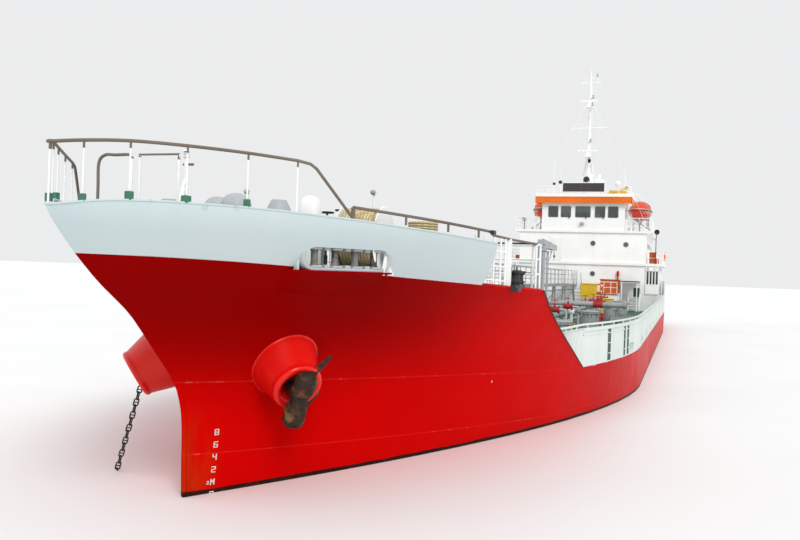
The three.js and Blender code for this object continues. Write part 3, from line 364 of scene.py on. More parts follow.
class Finish:
    """A node material. Lengths in its textures are metres of the model."""

    def __init__(self, name, rough=0.45, metal=0.0, coat=0.0, gloss=0.3, tint=(1, 1, 1)):
        self.material = bpy.data.materials.new(name)
        self.material.use_nodes = True
        self.nodes = self.material.node_tree.nodes
        self.links = self.material.node_tree.links
        self.inputs = self.nodes["Principled BSDF"].inputs
        for socket, value in (("Roughness", rough), ("Metallic", metal), ("Coat Weight", coat),
                              ("Specular IOR Level", gloss), ("Specular Tint", tint),
                              ("Coat Roughness", 0.25)):
            self.feed(self.inputs[socket], value)
        self.place = self.nodes.new("ShaderNodeTexCoord").outputs["Object"]
        split = self.nodes.new("ShaderNodeSeparateXYZ")
        self.links.new(self.place, split.inputs[0])
        self.x, self.y, self.z = split.outputs

    def feed(self, socket, value):
        if isinstance(value, bpy.types.NodeSocket):
            self.links.new(value, socket)
        elif isinstance(value, tuple) and len(value) == 3 and socket.type == "RGBA":
            socket.default_value = (*value, 1)
        else:
            socket.default_value = value

    def node(self, kind, inputs, output=0, **settings):
        """A new node with its settings and inputs filled in; gives one of its outputs."""
        node = self.nodes.new(kind)
        for name, value in settings.items():
            setattr(node, name, value)
        for socket, value in inputs.items():
            self.feed(node.inputs[socket], value)
        return node.outputs[output]

    def noise(self, scale, detail=4, stretch=(1, 1, 1), rough=0.55, shift=(0, 0, 0)):
        """A fractal pattern with so many features a metre, from 0 to 1."""
        moved = self.node("ShaderNodeMapping", {"Scale": stretch, "Location": shift, 0: self.place})
        return self.node("ShaderNodeTexNoise", {"Scale": scale, "Detail": detail, "Roughness": rough,
                                                "Vector": moved}, "Fac")

    def math(self, operation, a, b=0.0):
        return self.node("ShaderNodeMath", {0: a, 1: b}, operation=operation)

    def plus(self, a, b):
        return self.math("ADD", a, b)

    def both(self, a, b):
        return self.math("MULTIPLY", a, b)

    def ramp(self, value, low, high):
        """0 below low, 1 above high, smooth between; high may be the lower one."""
        turned = high < low
        limits = {"From Min": min(low, high), "From Max": max(low, high), "To Min": float(turned),
                  "To Max": float(not turned)}
        return self.node("ShaderNodeMapRange", {"Value": value, **limits}, interpolation_type="SMOOTHSTEP")

    def mix(self, share, a, b):
        return self.node("ShaderNodeMix", {"Factor": share, 6: a, 7: b}, 2, data_type="RGBA")

    def spots(self, color, spot, share, pattern, low, high):
        """Lays another colour over one, where a pattern is high."""
        return self.mix(self.both(self.ramp(pattern, low, high), share), color, spot)

    def done(self, color, rough=None, bump=None, depth=0.002):
        self.feed(self.inputs["Base Color"], color)
        if rough is not None:
            self.feed(self.inputs["Roughness"], rough)
        if bump is not None:
            self.feed(self.inputs["Normal"], self.node("ShaderNodeBump", {"Distance": depth, "Strength": 0.6,
                                                                          "Height": bump}))
        return self.material


RUST = (0.16, 0.055, 0.018)
DARK_RUST = (0.055, 0.022, 0.012)
GREY_DIRT = (0.16, 0.15, 0.12)


def worn_paint(name, color, rough=0.45, dirt=0.25, rust=0.12, metal=0.0, streaks=0.3, deep=None, gloss=0.3,
               tint=(1, 1, 1)):
    """Ship's paint over steel: uneven colour, dirt run down by rain, rust spots and a hand-painted
    surface."""
    f = Finish(name, rough, metal, gloss=gloss, tint=tint)
    deep = deep or tuple(c * 0.78 for c in color)
    patchy = f.mix(f.ramp(f.noise(1.1, 5), 0.3, 0.75), color, deep)
    grimy = f.spots(patchy, GREY_DIRT, streaks, f.noise(3.2, 6, (2.2, 2.2, 0.16), 0.6), 0.5, 0.82)
    grimy = f.spots(grimy, GREY_DIRT, dirt, f.noise(7, 8, rough=0.7), 0.63, 0.72)
    specks = f.noise(15, 8, (1.3, 1.3, 0.5), 0.75, (3, 7, 1))
    rusty = f.spots(grimy, RUST, min(1, rust * 4), specks, 0.685 - rust * 0.25, 0.75)
    surface = f.plus(f.noise(36, 3), f.both(f.noise(4, 2), 2.0))
    shine = f.plus(f.both(f.noise(2.5, 5), 0.2), rough - 0.1)
    return f.done(rusty, shine, surface, 0.0012)


def hull_red():
    """Red topsides with a dark wet band at the waterline, antifouling below it and two long welds."""
    f = Finish("hull_red", 0.4, gloss=0.015, tint=(1, 0.35, 0.3))
    cloud = f.noise(0.32, 6, (1, 1, 1.5))
    red = f.mix(f.ramp(cloud, 0.35, 0.7), (0.57, 0.001, 0.0008), (0.46, 0.0008, 0.0007))
    # painted shade: the downward-facing flare under the forecastle is painted a darker red, deepening upward
    # and toward the bow
    flare_shade = f.both(f.ramp(f.plus(f.z, f.both(f.noise(0.8, 4), 0.35)), 0.75, 1.75), f.ramp(f.x, 13.5, 16.2))
    red = f.mix(f.both(flare_shade, 0.85), red, (0.2, 0.0006, 0.0006))
    # rain and salt run down the side, and rust weeps at the stem's foot
    red = f.spots(red, (0.25, 0.004, 0.003), 0.2, f.noise(2.1, 7, (2.6, 2.6, 0.12), 0.62), 0.57, 0.8)
    red = f.spots(red, (0.75, 0.1, 0.06), 0.06, f.noise(1.7, 7, (1.6, 1.6, 0.3), 0.7, (5, 1, 2)), 0.62, 0.85)
    foot = f.both(f.ramp(f.x, 16.65, 17.0), f.ramp(f.z, 0.85, 0.1))
    foot = f.both(foot, f.ramp(f.noise(5, 6, (1, 1, 0.35)), 0.3, 0.62))
    red = f.mix(f.both(foot, 0.55), red, (0.4, 0.05, 0.004))
    # the welds rise toward the bow and are chipped to grey in places
    rise = f.both(f.math("MAXIMUM", f.math("SUBTRACT", f.x, 12), 0), 0.0435)
    over = f.math("SUBTRACT", f.z, rise)
    seams = [f.ramp(f.math("ABSOLUTE", f.math("SUBTRACT", over, level)), 0.008, 0.002)
             for level in (0.137, 0.75)]
    weld = f.math("MAXIMUM", *seams)
    chips = f.both(weld, f.ramp(f.noise(9, 5), 0.56, 0.66))
    red = f.mix(f.both(chips, 0.3), red, (0.7, 0.2, 0.15))
    red = f.mix(f.both(weld, 0.12), red, (0.8, 0.08, 0.05))
    red = f.spots(red, (0.2, 0.02, 0.015), 0.35, f.noise(3.3, 9, (0.5, 0.5, 2.6), 0.78, (9, 4, 2)), 0.7, 0.76)
    # boot-top and antifouling
    edge = f.plus(f.z, f.both(f.noise(1.6, 6, (1, 1, 0.6)), 0.03))
    dark = f.mix(f.ramp(f.noise(6, 6), 0.35, 0.7), (0.026, 0.008, 0.007), (0.05, 0.014, 0.01))
    fouled = f.ramp(f.noise(1.2, 7, (1, 1, 0.5)), 0.4, 0.68)
    under = f.mix(fouled, (0.17, 0.028, 0.02), (0.09, 0.026, 0.018))
    red = f.mix(f.ramp(edge, 0.062, 0.05), red, dark)
    red = f.mix(f.ramp(edge, 0.0, -0.03), red, under)
    dents = f.plus(f.both(f.noise(1.1, 2), 7.0), f.both(f.noise(30, 3), 0.12))
    surface = f.plus(dents, f.both(weld, 0.22))
    shine = f.plus(f.both(f.noise(1.8, 5), 0.22), 0.24)
    return f.done(red, shine, surface, 0.004)


def bulwark_pale():
    """Pale blue-grey bulwark: dull bloom, rust and green weeping from its upper edge."""
    f = Finish("bulwark_pale", 0.42)
    base = f.mix(f.ramp(f.noise(0.5, 6), 0.3, 0.7), (0.5, 0.6, 0.62), (0.55, 0.64, 0.65))
    base = f.spots(base, (0.47, 0.5, 0.44), 0.16, f.noise(1.8, 7, (3.2, 3.2, 0.14), 0.6), 0.55, 0.82)
    off = f.math("SUBTRACT", f.x, 17.5)
    edge = f.math("SUBTRACT", 2.37, f.both(f.both(off, off), 0.02))
    top = f.ramp(f.math("SUBTRACT", edge, f.z), 0.06, 0.012)
    for share, color, scale, shift, low in ((0.8, (0.3, 0.16, 0.05), 2.6, (0, 0, 0), 0.6),
                                            (0.6, (0.25, 0.31, 0.12), 2.2, (4, 2, 9), 0.58)):
        mark = f.both(top, f.ramp(f.noise(scale, 8, (2, 2, 1), 0.75, shift), low, 0.68))
        base = f.mix(f.both(mark, share), base, color)
    base = f.spots(base, (0.2, 0.09, 0.04), 0.7, f.noise(9, 9, (1, 1, 0.6), 0.8, (1, 5, 3)), 0.71, 0.76)
    dents = f.plus(f.both(f.noise(0.9, 2), 6.0), f.both(f.noise(26, 3), 0.1))
    return f.done(base, f.plus(f.both(f.noise(2.4, 5), 0.25), 0.3), dents, 0.004)


def deck_green():
    f = Finish("deck_green", 0.7)
    base = f.mix(f.ramp(f.noise(1.3, 7), 0.35, 0.7), (0.03, 0.105, 0.062), (0.055, 0.15, 0.085))
    base = f.spots(base, (0.16, 0.15, 0.11), 0.6, f.noise(2.1, 9, rough=0.75), 0.55, 0.7)
    base = f.spots(base, RUST, 0.8, f.noise(4.5, 9, rough=0.8, shift=(3, 3, 3)), 0.62, 0.7)
    return f.done(base, bump=f.plus(f.noise(60, 4), f.noise(5, 4)), depth=0.003)


def rusty_iron(name, base, rust_share=0.5, metal=0.2):
    f = Finish(name, 0.8, metal)
    color = f.mix(f.ramp(f.noise(9, 9, rough=0.7), 0.62 - rust_share * 0.3, 0.7), base, RUST)
    color = f.mix(f.ramp(f.noise(4, 8, rough=0.7, shift=(6, 2, 1)), 0.5, 0.75), color, DARK_RUST)
    color = f.spots(color, (0.27, 0.17, 0.06), 0.7, f.noise(5, 7, shift=(2, 9, 5)), 0.55, 0.68)
    color = f.spots(color, (0.008, 0.007, 0.006), 0.75, f.noise(7, 7, shift=(8, 1, 3)), 0.55, 0.66)
    rough = f.plus(f.both(f.noise(12, 5), 0.4), 0.5)
    return f.done(color, rough, f.plus(f.noise(45, 6, rough=0.7), f.noise(11, 4)), 0.006)


def glass():
    f = Finish("window_glass", 0.06, coat=0.4, gloss=0.8)
    color = f.mix(f.ramp(f.noise(1.4, 4), 0.4, 0.65), (0.02, 0.032, 0.036), (0.07, 0.09, 0.09))
    return f.done(color, f.plus(f.both(f.noise(8, 5), 0.12), 0.04))


def rope_fibre():
    f = Finish("rope", 0.9)
    lay = f.node("ShaderNodeTexWave", {"Scale": 26, "Distortion": 2.5, "Vector": f.place}, "Fac",
                 bands_direction="DIAGONAL")
    color = f.spots(f.mix(lay, (0.42, 0.31, 0.15), (0.66, 0.55, 0.32)), (0.22, 0.16, 0.08), 0.6,
                    f.noise(14, 6), 0.5, 0.8)
    f.feed(f.inputs["Sheen Weight"], 0.3)
    return f.done(color, bump=lay, depth=0.004)


def bronze():
    f = Finish("bronze", 0.35, 0.9)
    color = f.mix(f.ramp(f.noise(3, 7), 0.4, 0.7), (0.5, 0.31, 0.12), (0.24, 0.2, 0.1))
    return f.done(color, f.plus(f.both(f.noise(6, 5), 0.3), 0.25), f.noise(14, 4), 0.002)


def lamp_lens():
    f = Finish("lamp_lens", 0.15, coat=0.5)
    return f.done(f.mix(f.ramp(f.noise(20, 3), 0.4, 0.6), (0.6, 0.62, 0.6), (0.42, 0.45, 0.46)))


HULL_RED = hull_red()
BULWARK = bulwark_pale()
BOLSTER_RED = worn_paint("bolster_red", (0.8, 0.008, 0.005), 0.3, 0.08, 0.02, streaks=0.08,
                         deep=(0.6, 0.004, 0.003), gloss=0.7, tint=(1, 0.5, 0.42))
DECK = deck_green()
WHITE = worn_paint("house_white", (0.9, 0.91, 0.9), 0.42, 0.1, 0.05, streaks=0.1, deep=(0.84, 0.855, 0.845))
SIDE_WHITE = worn_paint("side_white", (0.7, 0.76, 0.73), 0.45, 0.2, 0.1, streaks=0.22,
                        deep=(0.6, 0.69, 0.645))
HOUSE_PAINT = worn_paint("house_paint", (0.93, 0.94, 0.93), 0.5, 0.08, 0.04, streaks=0.07,
                         deep=(0.87, 0.885, 0.875))
POOP_WHITE = worn_paint("poop_white", (0.8, 0.83, 0.82), 0.5, 0.2, 0.1, streaks=0.25)
FIGURE_WHITE = worn_paint("figure_white", (0.82, 0.79, 0.74), 0.6, 0.2, 0.1, streaks=0.2)
GREY = worn_paint("gear_grey", (0.33, 0.35, 0.36), 0.5, 0.3, 0.12, deep=(0.26, 0.28, 0.29))
PALE_GREY = worn_paint("pale_grey", (0.44, 0.47, 0.5), 0.45, 0.25, 0.1)
BLACK = worn_paint("gear_black", (0.018, 0.02, 0.024), 0.42, 0.35, 0.14, metal=0.1,
                   deep=(0.035, 0.036, 0.038))
BOARD_DARK = worn_paint("board_dark", (0.055, 0.045, 0.05), 0.5, 0.2, 0.1)
ORANGE = worn_paint("safety_orange", (0.86, 0.17, 0.01), 0.4, 0.2, 0.05, streaks=0.2)
BOAT_ORANGE = worn_paint("boat_orange", (0.72, 0.075, 0.02), 0.36, 0.15, 0.02, streaks=0.16)
BOAT_RED = worn_paint("boat_red", (0.68, 0.045, 0.015), 0.35, 0.15, 0.03, streaks=0.1)
YELLOW = worn_paint("safety_yellow", (0.78, 0.5, 0.03), 0.45, 0.3, 0.1)
SIGNAL_RED = worn_paint("signal_red", (0.5, 0.02, 0.015), 0.4, 0.25, 0.1)
VALVE_RED = worn_paint("valve_red", (0.42, 0.02, 0.02), 0.5, 0.3, 0.2)
RED_IRON = worn_paint("rudder_red", (0.17, 0.028, 0.02), 0.6, 0.4, 0.3)
GREEN = worn_paint("fitting_green", (0.05, 0.2, 0.12), 0.5, 0.3, 0.2)
GATE_GREEN = worn_paint("gate_green", (0.045, 0.09, 0.06), 0.6, 0.3, 0.3)
TAN = worn_paint("rail_buff", (0.2, 0.165, 0.13), 0.5, 0.3, 0.25, deep=(0.13, 0.1, 0.08))
LOCKER_BROWN = worn_paint("locker_brown", (0.5, 0.09, 0.02), 0.6, 0.3, 0.2, streaks=0.3)
RUST_STAIN = worn_paint("stained_edge", (0.42, 0.2, 0.07), 0.7, 0.5, 0.3)
CHAIN_IRON = rusty_iron("chain_iron", (0.035, 0.05, 0.048), 0.2, 0.3)
ANCHOR_IRON = rusty_iron("anchor_iron", (0.03, 0.018, 0.012), 0.35)
STEEL = rusty_iron("bare_steel", (0.24, 0.23, 0.22), 0.25, 0.7)
GLASS = glass()
LENS = lamp_lens()
ROPE = rope_fibre()
BRONZE = bronze()


def repaint(material, *nodes):
    """Gives solid nodes a finish."""
    for node in nodes:
        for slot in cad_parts[node].material_slots:
            slot.material = material


def both(name):
    return [f"port_{name}", f"starboard_{name}"]


def rail(build, feet, heights=(0.35, 0.68, 1.0), r=0.02, top_r=0.026, post_r=0.024):
    """Guard rail: a post at each foot, and bars through all of them."""
    feet = [Vector(p) for p in feet]
    build.tubes([(foot, foot + Z * heights[-1]) for foot in feet], post_r)
    for h in heights:
        build.tube([foot + Z * h for foot in feet], top_r if h == heights[-1] else r)
    return build


def stairs(build, start, end, y0, y1, steps, thick, reach=0.1):
    """The treads between two (x, height) points."""
    for k in range(1, steps):
        x, z = lerp(start[0], end[0], k / steps), lerp(start[1], end[1], k / steps)
        build.box(x - reach, x + reach, y0, y1, z - thick, z + thick)
    return build


# Hull: topsides, bottom and transom
def plated(piece):
    """Gives a skin the thickness of plating, inward."""
    shell = piece.modifiers.new("thickness", "SOLIDIFY")
    shell.thickness = PLATE * K
    shell.offset = -1
    shell.use_even_offset = True
    return applied(piece)


def applied(piece):
    """Makes a piece's modifiers part of its mesh."""
    shown = piece.evaluated_get(bpy.context.evaluated_depsgraph_get())
    mesh = bpy.data.meshes.new_from_object(shown)
    piece.modifiers.clear()
    piece.data = mesh
    return piece


def cut(piece, cutter):
    """Takes the cutter's body out of a piece."""
    tool = cutter.make("cutter", GREY)
    hollow = piece.modifiers.new("cut", "BOOLEAN")
    hollow.operation = "DIFFERENCE"
    hollow.solver = "MANIFOLD"
    hollow.object = tool
    applied(piece)
    bpy.data.objects.remove(tool)
    return piece


FORE_COLUMNS, AFT_COLUMNS = 84, 60
SWEEP_FOOT = SWEEP[0][0]


def hull_column(level, fore_only=False):
    """One row of the port side at a height, from the stem aft to the transom or to the swept edge."""
    row = []
    for i in range(FORE_COLUMNS + 1):
        s = (i / FORE_COLUMNS) ** 1.5
        x, z = 30.0, DECK_Z
        for _ in range(5):
            z = level(x)
            end = sweep_x(z) if z > DECK_Z else SWEEP_FOOT
            x = lerp(stem_x(z), end, s)
        row.append((x, 0.0 if i == 0 else half_breadth(x, z), z))
    if fore_only:
        return row
    z = row[-1][2]
    for i in range(1, AFT_COLUMNS + 1):
        x = lerp(SWEEP_FOOT, stern_x(z), 1 - (1 - i / AFT_COLUMNS) ** 1.5)
        row.append((x, half_breadth(max(x, stern_x(z) + 1e-4), z), z))
    row.append((stern_x(z), 0, z))
    return row


LOW_ZS = ([KEEL_Z + BILGE_R * (1 - math.cos(math.radians(t))) for t in range(0, 91, 9)]
          + spread(-1.6, DECK_Z, 22)[1:])
INSIDE, UNDER = 0.075, 0.012


def fine_hull():
    """Topsides, bottom and transom as one shell, with the side plates swept down from the forecastle."""
    low = [hull_column(lambda x, z=z: z) for z in LOW_ZS]
    low[-1] = [(x, y, DECK_Z) for x, y, _ in low[-1]]
    keel = [(x, 0, z) for x, y, z in low[0]]
    high = [hull_column(lambda x, s=s: lerp(DECK_Z, deck_line(x), s), fore_only=True)
            for s in spread(0, 1, 16)[1:]]
    skin = Build().grid([keel] + low).grid([low[-1][:FORE_COLUMNS + 1]] + high).mirror()
    piece = skin.make("hull_plating", HULL_RED, "hull_red", ("hull", "forecastle"), smooth=28, weld=0.002)
    smooth_mesh(plated(piece).data, 28)

    plan = [(x, max(0.0, half_breadth(x, DECK_Z) - INSIDE), DECK_Z - UNDER)
            for x in spread(BREAK_X + 0.06, stern_x(DECK_Z) + 0.02, 120)]
    deck_sheet("main_deck", plan)
    edge = []
    for i in range(60):
        x = 36.0
        for _ in range(5):
            x = lerp(stem_x(deck_line(x)) - 0.06, BREAK_X, (i / 59) ** 1.6)
        z = deck_line(x)
        edge.append((x, max(0.0, half_breadth(x, z) - INSIDE), z - UNDER))
    deck_sheet("fore_deck", edge)

    half = half_breadth(BREAK_X, 1.6) - 0.06
    bulkhead = Build().box(BREAK_X - 0.02, BREAK_X + 0.06, -half, half, DECK_Z - 0.02,
                           deck_line(BREAK_X) - 0.005)
    for y in (-3.4, -2.4, 1.0, 2.2, 3.4):
        bulkhead.box(BREAK_X - 0.1, BREAK_X, y - 0.03, y + 0.03, DECK_Z, deck_line(BREAK_X) - 0.1)
    bulkhead.make("forecastle_bulkhead", SIDE_WHITE, "bulwark_pale", bevel=0.004)
    # the swept edge carries a flat bar, and stays inside it brace it from the deck
    bar = []
    for z in spread(DECK_Z, SWEEP[-1][1], 24):
        x, y = sweep_x(z), half_breadth(sweep_x(z), z)
        bar.append([(x + 0.02, y - 0.085, z), (x + 0.02, y + 0.02, z), (x - 0.025, y + 0.02, z),
                    (x - 0.025, y - 0.085, z)])
    Build().loft(bar).mirror().make("sweep_edge_bars", BLACK, "deck_grey", weld=0.001)
    stays = Build()
    for x in (23.7, 24.6, 25.5, 26.4):
        high_z = along(SWEEP, 1, x) - 0.12
        y0, y1 = half_breadth(x, DECK_Z) - 0.09, half_breadth(x, high_z) - 0.08
        outline = [(y0, DECK_Z), (y1, high_z), (y1 - 0.08, high_z), (y0 - 0.45, DECK_Z)]
        stays.prism(outline, x - 0.012, x + 0.012, "x")
    stays.mirror().make("sweep_stays", SIDE_WHITE, "bulwark_pale")


def deck_sheet(name, edge, thick=0.04):
    """A deck plate across the ship inside an edge of port points, thin and closed."""
    sheet = Build()
    across = spread(-1, 1, 8)
    for low in (0, thick):
        sheet.grid([[(x, y * a, z - low) for a in across] for x, y, z in edge], flip=low == 0)
    for side in SIDES:
        sheet.grid([[(x, y * side, z), (x, y * side, z - thick)] for x, y, z in edge])
    for x, y, z in (edge[0], edge[-1]):
        sheet.grid([[(x, y * a, z - low) for a in across] for low in (0, thick)])
    sheet.make(name, DECK, "deck_grey", weld=0.002)


fine_hull()


# Bow bulwark, with a chock on each side
BULWARK_FOOT_END, BULWARK_TOP_END = 29.75, 30.0
BULWARK_COLUMNS = 90


def bulwark_row(share):
    """Points of the bulwark's face from the stem aft, at a share of its height."""
    end = lerp(BULWARK_FOOT_END, BULWARK_TOP_END, share ** 1.8)
    row = []
    for i in range(BULWARK_COLUMNS + 1):
        x, z = 35.0, 4.0
        for _ in range(8):
            x = lerp(stem_x(z), end, (i / BULWARK_COLUMNS) ** 1.7)
            z = lerp(deck_line(x) - 0.005, bulwark_line(x), share)
        row.append((x, 0.0 if i == 0 else half_breadth(x, z), z))
    return row


CHOCK_X, CHOCK_LOW, CHOCK_HIGH, CHOCK_HALF = 33.2, 0.04, 0.36, 0.86
CHOCK_Z = deck_line(CHOCK_X) + (CHOCK_LOW + CHOCK_HIGH) / 2
CHOCK_AT = Vector((CHOCK_X, half_breadth(CHOCK_X, CHOCK_Z), CHOCK_Z))
CHOCK_OUT = Vector((*outward(CHOCK_X, CHOCK_Z), 0))
CHOCK_ALONG = Vector((-CHOCK_OUT.y, CHOCK_OUT.x, 0))
CHOCK_R = (CHOCK_HIGH - CHOCK_LOW) / 2


def by_chock(u, out, up):
    """A point by the port chock: so far along the bulwark, outside its face and over the chock's middle."""
    return CHOCK_AT + CHOCK_ALONG * u + CHOCK_OUT * out + Z * up


def chock_ring(half, r, out, steps=12):
    """Points of a long ring with round ends, square to the bulwark, at a distance outside its face."""
    return [by_chock(end * (half - r) + r * math.cos(t), out, r * math.sin(t)) for end in (1, -1)
            for t in (math.radians(-90 * end + 180 * i / steps) for i in range(steps + 1))]


def chock_bar(build, outline, low, high):
    """An upright bar by the chock, from an outline of places along and outside the face."""
    return build.loft([[by_chock(u, v, h) for u, v in outline] for h in (low, high)])


def bow_bulwark():
    shares = [0, 0.06, 0.15, 0.3, 0.45, 0.6, 0.75, 0.88, 0.97, 1]
    plate = Build().grid([bulwark_row(s) for s in shares]).mirror()
    piece = plate.make("bow_bulwark_plate", BULWARK, "bulwark_pale", "bow_bulwark", smooth=30, weld=0.002)
    hole = Build().loft([chock_ring(CHOCK_HALF, CHOCK_R, out) for out in (-0.5, 0.5)]).mirror()
    smooth_mesh(cut(plated(piece), hole).data, 32)
    # rounded rim of each chock, a casting with a curled lip, and webs between the rollers
    profile = [(0.0, -0.15), (0.0, 0.03), (0.014, 0.046), (0.035, 0.05), (0.058, 0.042), (0.07, 0.02),
               (0.07, -0.15), (0.0, -0.15)]
    lip = Build().grid([chock_ring(CHOCK_HALF + grow, CHOCK_R + grow, out, 16) for grow, out in profile],
                       closed=True)
    for middle in (-0.415, 0, 0.415):
        web = [(middle - 0.05, -0.14), (middle + 0.05, -0.14), (middle + 0.05, 0.02), (middle - 0.05, 0.02)]
        chock_bar(lip, web, -CHOCK_R, -CHOCK_R + 0.045)
        chock_bar(lip, web, CHOCK_R - 0.045, CHOCK_R)
    lip.mirror().make("chock_frames", PALE_GREY, "bulwark_pale", smooth=50, weld=0.001)
    # a flat bar along the upper edge, and stays inside
    bar = []
    for i, (x, y, z) in enumerate(bulwark_row(1)):
        nx, ny = (1, 0) if i == 0 else outward(min(x, stem_x(z) - 0.06), z)
        out, into = (x + nx * 0.012, y + ny * 0.012), (x - nx * 0.1, max(0, y - ny * 0.1))
        bar.append([(*out, z - 0.012), (*out, z + 0.014), (*into, z + 0.014), (*into, z - 0.012)])
    cap = Build().grid(bar, closed=True).add(bar[-1], [(0, 1, 2, 3)])
    cap.mirror().make("bulwark_cap", BULWARK, "bulwark_pale", weld=0.002, bevel=0.004)
    stays = Build()
    for x in (30.6, 31.4, 32.1, 34.4, 35.1, 35.8, 36.4):
        z0, z1 = deck_line(x), bulwark_line(x) - 0.02
        nx, ny = outward(x, z1)
        thick, into = Vector((-ny, nx, 0)) * 0.012, Vector((-nx, -ny, 0))
        foot, head = Vector((x, half_breadth(x, z0), z0)), Vector((x, half_breadth(x, z1), z1))
        outline = [foot + into * 0.075, foot + into * 0.42, foot + into * 0.42 + Z * 0.08,
                   head + into * 0.16, head + into * 0.075]
        stays.loft([[p + thick * s for p in outline] for s in SIDES])
    stays.mirror().make("bulwark_stays", BULWARK, "bulwark_pale")


bow_bulwark()

# Hawse bolsters, the anchor housed in one and the chain let go from the other
FACE, ROOT = Vector((33.07, 1.6, 1.86)), Vector((32.44, 0.79, 2.48))
OUT = (FACE - ROOT).normalized()
DOWN = (OUT * OUT.z - Z).normalized()
ALONG = OUT.cross(DOWN)
REACH = (FACE - ROOT).length
BOLSTER_FLARE = [(0, 0), (0.79, 0), (0.7, 0.3), (0.61, 0.6), (0.52, 0.9), (0.452, 1.12)]
BOLSTER_LIP = [(0.44, -0.03), (0.449, 0), (0.44, 0.034), (0.412, 0.06), (0.375, 0.068), (0.336, 0.056),
               (0.302, 0.02), (0.272, -0.06), (0.252, -0.2), (0.25, -0.5), (0, -0.5)]


def bolster():
    """The casting, and a fillet that runs from it onto the hull."""
    body = Build().lathe(BOLSTER_FLARE + [(r, REACH + h) for r, h in BOLSTER_LIP], ROOT, OUT, 72)
    _, side, third = square_to(OUT)
    rows = []
    for t in turns(96):
        around = side * math.cos(t) + third * math.sin(t)
        for step in range(240):
            p = FACE - OUT * (REACH * step / 240) + around * (0.43 + 0.36 * step / 240)
            if p.y < half_breadth(p.x, p.z):
                break
        near = p + (OUT * REACH - around * 0.36).normalized() * 0.02
        foot = p + around * 0.02
        foot.y = half_breadth(foot.x, foot.z) + 0.002
        rows.append([near * (1 - u) ** 2 + p * 2 * u * (1 - u) + foot * u * u for u in spread(0, 1, 4)])
    return body.grid(rows + [rows[0]])


for side, name in NAMED_SIDES:
    bolster().on_side(side).make(f"{name}_bolster_casting", BOLSTER_RED, "hull_red", f"{name}_hawse_bolster",
                                 smooth=40)

FLUKE_LEAN = 0.87
# places along the crown: half its depth and half its height there
CROWN = [(0.12, 0.16, 0.11), (0.18, 0.19, 0.15), (0.3, 0.17, 0.13), (0.44, 0.175, 0.14), (0.52, 0.13, 0.11),
         (0.55, 0.08, 0.07), (0.56, 0.03, 0.03)]
# places along a fluke: its half width and its thickness there
FLUKE = [(-0.02, 0.12, 0.12), (0.12, 0.11, 0.09), (0.3, 0.09, 0.065), (0.6, 0.075, 0.05), (0.92, 0.055, 0.04),
         (0.99, 0.03, 0.02)]
PALM = [(-0.15, 0.6), (-0.13, 0.85), (-0.08, 1), (0.08, 1), (0.13, 0.85), (0.15, 0.6)]


def anchor():
    """Stockless anchor: shank up +Z, crown along Y, flukes leaning to +X."""
    body = Build()
    shank = zip(spread(-0.05, 0.62, 5), spread(0.085, 0.062, 5))
    body.grid([[(w * math.cos(t) * 1.15, w * math.sin(t), z) for t in turns(8, math.pi / 8)]
               for z, w in shank],
              closed=True)
    body.lathe([(0, -0.16), (0.1, -0.16), (0.12, -0.12), (0.12, 0.12), (0.1, 0.16), (0, 0.16)], (0, 0, 0),
               TO_PORT)
    body.loft([[(half_x * rounded(math.cos(t), 0.7), at, half_z * rounded(math.sin(t), 0.7) - 0.04)
                for t in turns(18)] for at, half_x, half_z in [(-at, a, b) for at, a, b in CROWN[::-1]]
               + CROWN])
    up = Vector((math.sin(FLUKE_LEAN), 0, math.cos(FLUKE_LEAN)))
    out = Vector((math.cos(FLUKE_LEAN), 0, -math.sin(FLUKE_LEAN)))
    for side in SIDES:
        at = Vector((0.02, side * 0.37, -0.02))
        rows = []
        for run, wide, thick in FLUKE:
            c = at + up * run + Y * side * 0.02
            corners = ((wide, -0.35), (wide * 0.35, 1), (-wide * 0.35, 1), (-wide, -0.35), (0, -0.75))
            rows.append([c + Y * v + out * thick * w for v, w in corners])
        body.loft(rows)
        # tripping palm at the fluke's heel, a thick lip with two ribs
        body.loft([[at + Vector((0.03 + 0.15 * grow * math.cos(t), across, 0.14 * grow * math.sin(t) - 0.05))
                    for t in turns(12)] for across, grow in PALM])
        for rib in (-0.06, 0.06):
            outline = [(0.08, 0.02), (0.2, 0.0), (0.36, 0.2), (0.33, 0.26)]
            body.prism(outline, at.y + rib - 0.018, at.y + rib + 0.018, "y")
    return body


housed = Build().put(anchor(), axes(ALONG, -DOWN, -OUT, FACE + OUT * 0.2 + DOWN * 0.1 - ALONG * 0.04))
housed.make("stockless_anchor", ANCHOR_IRON, "anchor_rust", "port_anchor", smooth=38, weld=0.0005,
            bevel=0.008)

LINK_D = 0.033


def link(at, along_chain, across):
    """A stud link with its long way along the chain, lying in the plane of the two directions."""
    half, wide, d = LINK_D * 2.35, LINK_D * 1.28, LINK_D
    route = []
    for start, end in ((0, 1), (180, -1)):
        angles = [math.radians(start + 180 * k / 8) for k in range(9)]
        route += arc(at + along_chain * (end * (half - wide)), wide, across, along_chain, angles)
    body = Build().tube(route, d * 0.4, closed=True)
    stud = [at + across * v for v in (-wide, -d * 0.3, d * 0.3, wide)]
    return body.tube(stud, [d * 0.46, d * 0.3, d * 0.3, d * 0.46], 6)


def chain(route):
    """Links laid end to end along a route, each a quarter turn from the last."""
    body = Build()
    route = [Vector(p) for p in route]
    pitch = LINK_D * 3.95
    lengths = [(b - a).length for a, b in zip(route, route[1:])]
    for i in range(int(sum(lengths) / pitch)):
        want = (i + 0.5) * pitch
        k = 0
        while k < len(lengths) - 1 and want > lengths[k]:
            want -= lengths[k]
            k += 1
        way = (route[k + 1] - route[k]).normalized()
        side = way.cross(Vector((0.6, 0.8, 0))).normalized()
        body.put(link(route[k] + way * want, way, way.cross(side) if i % 2 else side), Matrix())
    return body


